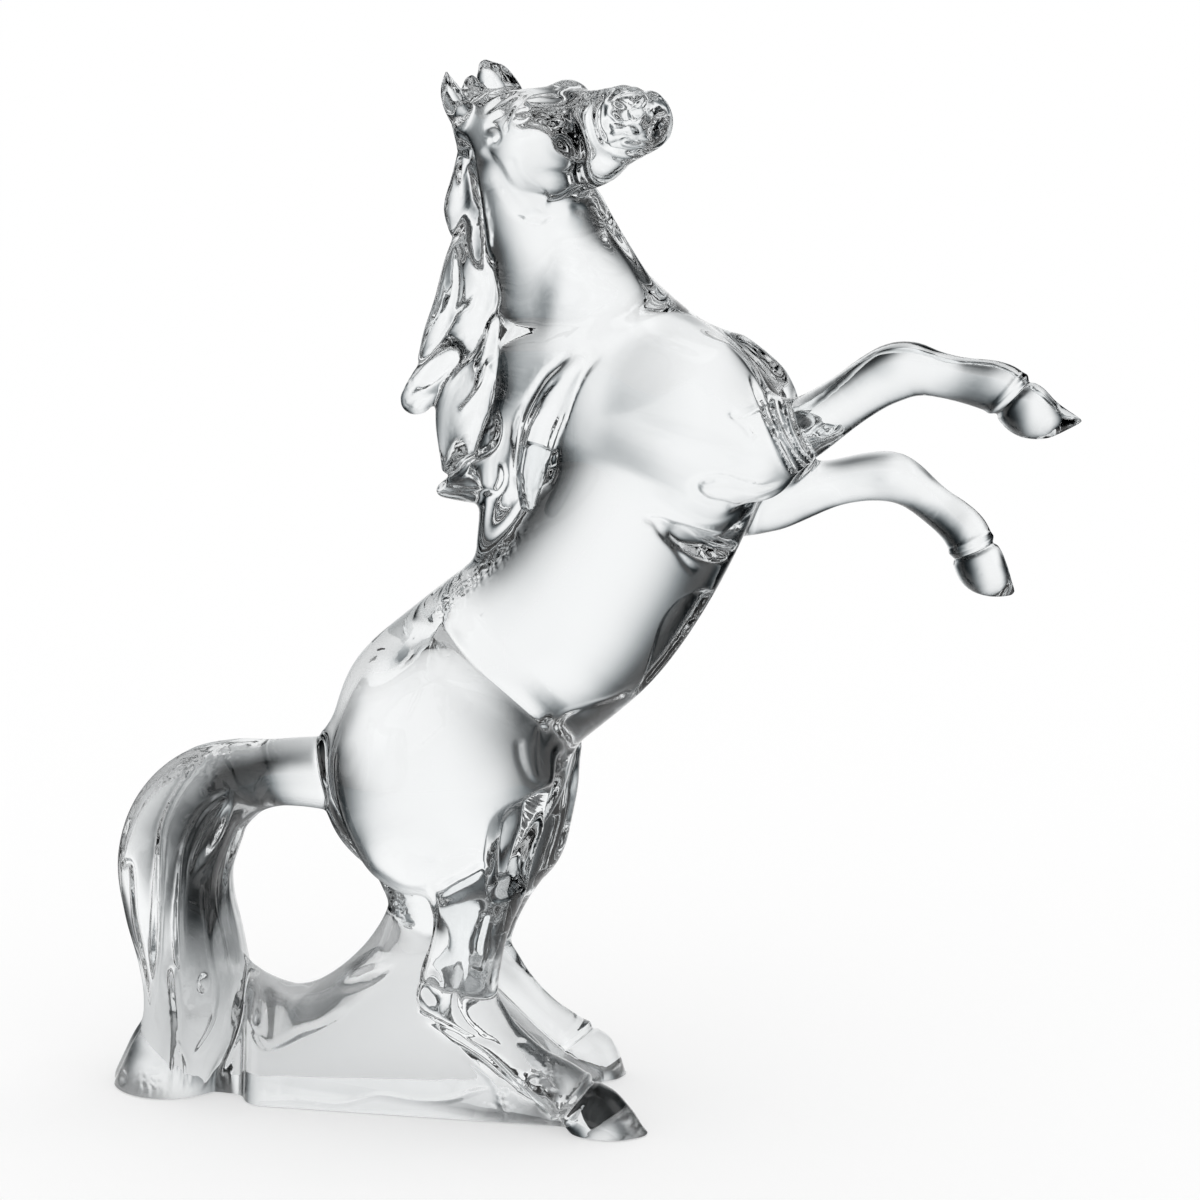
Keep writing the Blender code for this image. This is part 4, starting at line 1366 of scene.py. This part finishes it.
def light_tent():
    """The tent glows with the windows' pattern, fades with height and has a soft light in its roof."""
    material, tree, shader = new_material("light_tent")
    tree.nodes.remove(shader)
    place = own_place(tree)
    height = split_place(tree, place)["Z"]
    windows = use_group(tree, studio_windows, {"Place": place})
    fade = soft_curve(tree, math_node(tree, "DIVIDE", height, TENT_HEIGHT), HEIGHT_STOPS)
    wall = math_node(tree, "MULTIPLY", windows["Brightness"], fade)
    in_roof = math_node(tree, "GREATER_THAN", height, TENT_HEIGHT - MARGIN)
    roof = step(tree, windows["Distance"], TENT_RADIUS * ROOF_END, TENT_RADIUS * ROOF_FULL, 0.0, ROOF_LIGHT)
    both = math_node(tree, "MAXIMUM", wall, math_node(tree, "MULTIPLY", in_roof, roof))
    colour = use_group(tree, cool_light, {"Brightness": both})["Colour"]
    glow = set_inputs(tree, tree.nodes.new("ShaderNodeEmission"), {"Color": colour, "Strength": 1.0})
    tree.links.new(glow.outputs["Emission"], tree.nodes["Material Output"].inputs["Surface"])
    return staged("light_tent", drum_mesh("light_tent", TENT_RADIUS, TENT_HEIGHT), material, True)


tent = light_tent()
print("light tent", TENT_RADIUS, "m round and", TENT_HEIGHT, "m high")

# %% The pale floor
FLOOR_RADIUS = 12
FLOOR_SIDES = 128
FLOOR_DROP = 0.0004  # the floor lies this far under the horse, like the air left under a real one
FLOOR_GLOW = 0.45  # the share of the floor's white that no shadow takes away


def make_floor():
    """A white table top that runs out of sight. Through the glass its colour and glow carry the windows'
    pattern at a distance, a painted reflection such as a glossy table would show, and plain white close by."""
    material, tree, shader = new_material("pale_floor")
    windows = use_group(tree, studio_windows, {"Place": own_place(tree)})
    far = step(tree, windows["Distance"], 0.05, 0.3, 0.0, 1.0)
    near = math_node(tree, "SUBTRACT", 1.0, far)
    # Through the glass the floor's colour is the windows' pattern painted on: a painted reflection, with
    # painted shade in the dark corners between the windows.
    painted_windows_through_glass = math_node(tree, "ADD", math_node(tree, "MULTIPLY", windows["Brightness"], far), near)
    path = tree.nodes.new("ShaderNodeLightPath").outputs
    direct = math_node(tree, "MAXIMUM", path["Is Camera Ray"], path["Is Diffuse Ray"])
    white = math_node(tree, "MAXIMUM", painted_windows_through_glass, direct)
    set_inputs(tree, shader, {
        "Base Color": math_node(tree, "MULTIPLY", white, 1.0 - FLOOR_GLOW),
        "Roughness": 0.6,
        "Specular IOR Level": 0.0,
        "Emission Color": use_group(tree, cool_light, {"Brightness": white})["Colour"],
        "Emission Strength": FLOOR_GLOW,
    })
    turn = 2 * math.pi * np.arange(FLOOR_SIDES) / FLOOR_SIDES
    rim = np.stack([FLOOR_RADIUS * np.cos(turn), FLOOR_RADIUS * np.sin(turn), 0 * turn - FLOOR_DROP], -1)
    return staged("pale_floor", new_mesh("pale_floor", rim.tolist(), [range(FLOOR_SIDES)]), material)


floor = make_floor()

# %% The card of painted shade
# A small black card under the nearest hoof, seen only through the glass, is painted shade: it makes that
# hoof dark as the shade under it would.
SHADE_CARD_CORNERS = ((64, -52), (84, -52), (84, -5), (64, -5))  # its corners on the table, in units


def painted_shade_card():
    """A card of dark fibres between the table and the glass, seen only through the glass: painted shade for
    the hoof above it.
    """
    material, tree, shader = new_material("painted_shade_card")
    noise = tree.nodes.new("ShaderNodeTexNoise")
    fibres = set_inputs(tree, noise, {"Vector": own_place(tree), "Scale": 400.0})
    set_inputs(tree, shader, {
        "Base Color": step(tree, fibres.outputs["Fac"], 0.3, 0.7, 0.01, 0.03),
        "Roughness": 0.9,
        "Specular IOR Level": 0.1,
    })
    corners = [(x * UNIT, y * UNIT, -FLOOR_DROP / 2) for x, y in SHADE_CARD_CORNERS]
    return staged("painted_shade_card", new_mesh("painted_shade_card", corners, [range(len(corners))]), material, True)


painted_shade_card()

# %% The white backdrop
world = bpy.data.worlds.new("white backdrop")  # plain white all round, which the tent hides from the glass
world.use_nodes = True
background = world.node_tree.nodes["Background"]
set_inputs(world.node_tree, background, {"Color": (1.0, 1.0, 1.0, 1.0), "Strength": 1.0})
bpy.context.scene.world = world

# %% [markdown]
# The camera aims at the middle of the horse and looks a little down, as in the photograph. It stands more
# than three figure-heights away.

# %% The camera
PHOTO_SIZE = 1200  # pixels on each side
PIXELS_PER_UNIT = 3.22  # of the photograph, at the aim
AIM = Vector((70, 0, 163))  # what the middle of the picture shows, in units
DISTANCE = 1200  # from the aim, in units
SENSOR = 36.0  # millimetres

toward = Vector((
    math.sin(CAMERA_TURN) * math.cos(CAMERA_RISE),
    -math.cos(CAMERA_TURN) * math.cos(CAMERA_RISE),
    math.sin(CAMERA_RISE),
))
camera_data = bpy.data.cameras.new("camera")
camera_data.sensor_width = SENSOR
camera_data.lens = SENSOR * DISTANCE * PIXELS_PER_UNIT / PHOTO_SIZE
camera_data.clip_start = 0.05
camera = bpy.data.objects.new("camera", camera_data)
camera.location = (AIM + toward * DISTANCE) * UNIT
camera.rotation_euler = (-toward).to_track_quat("-Z", "Y").to_euler()
bpy.context.scene.collection.objects.link(camera)
bpy.context.scene.camera = camera
bpy.context.scene.view_settings.view_transform = "Standard"
bpy.context.scene.cycles.use_denoising = True
print("camera with a", round(camera_data.lens, 1), "mm lens at", [round(v, 3) for v in camera.location])
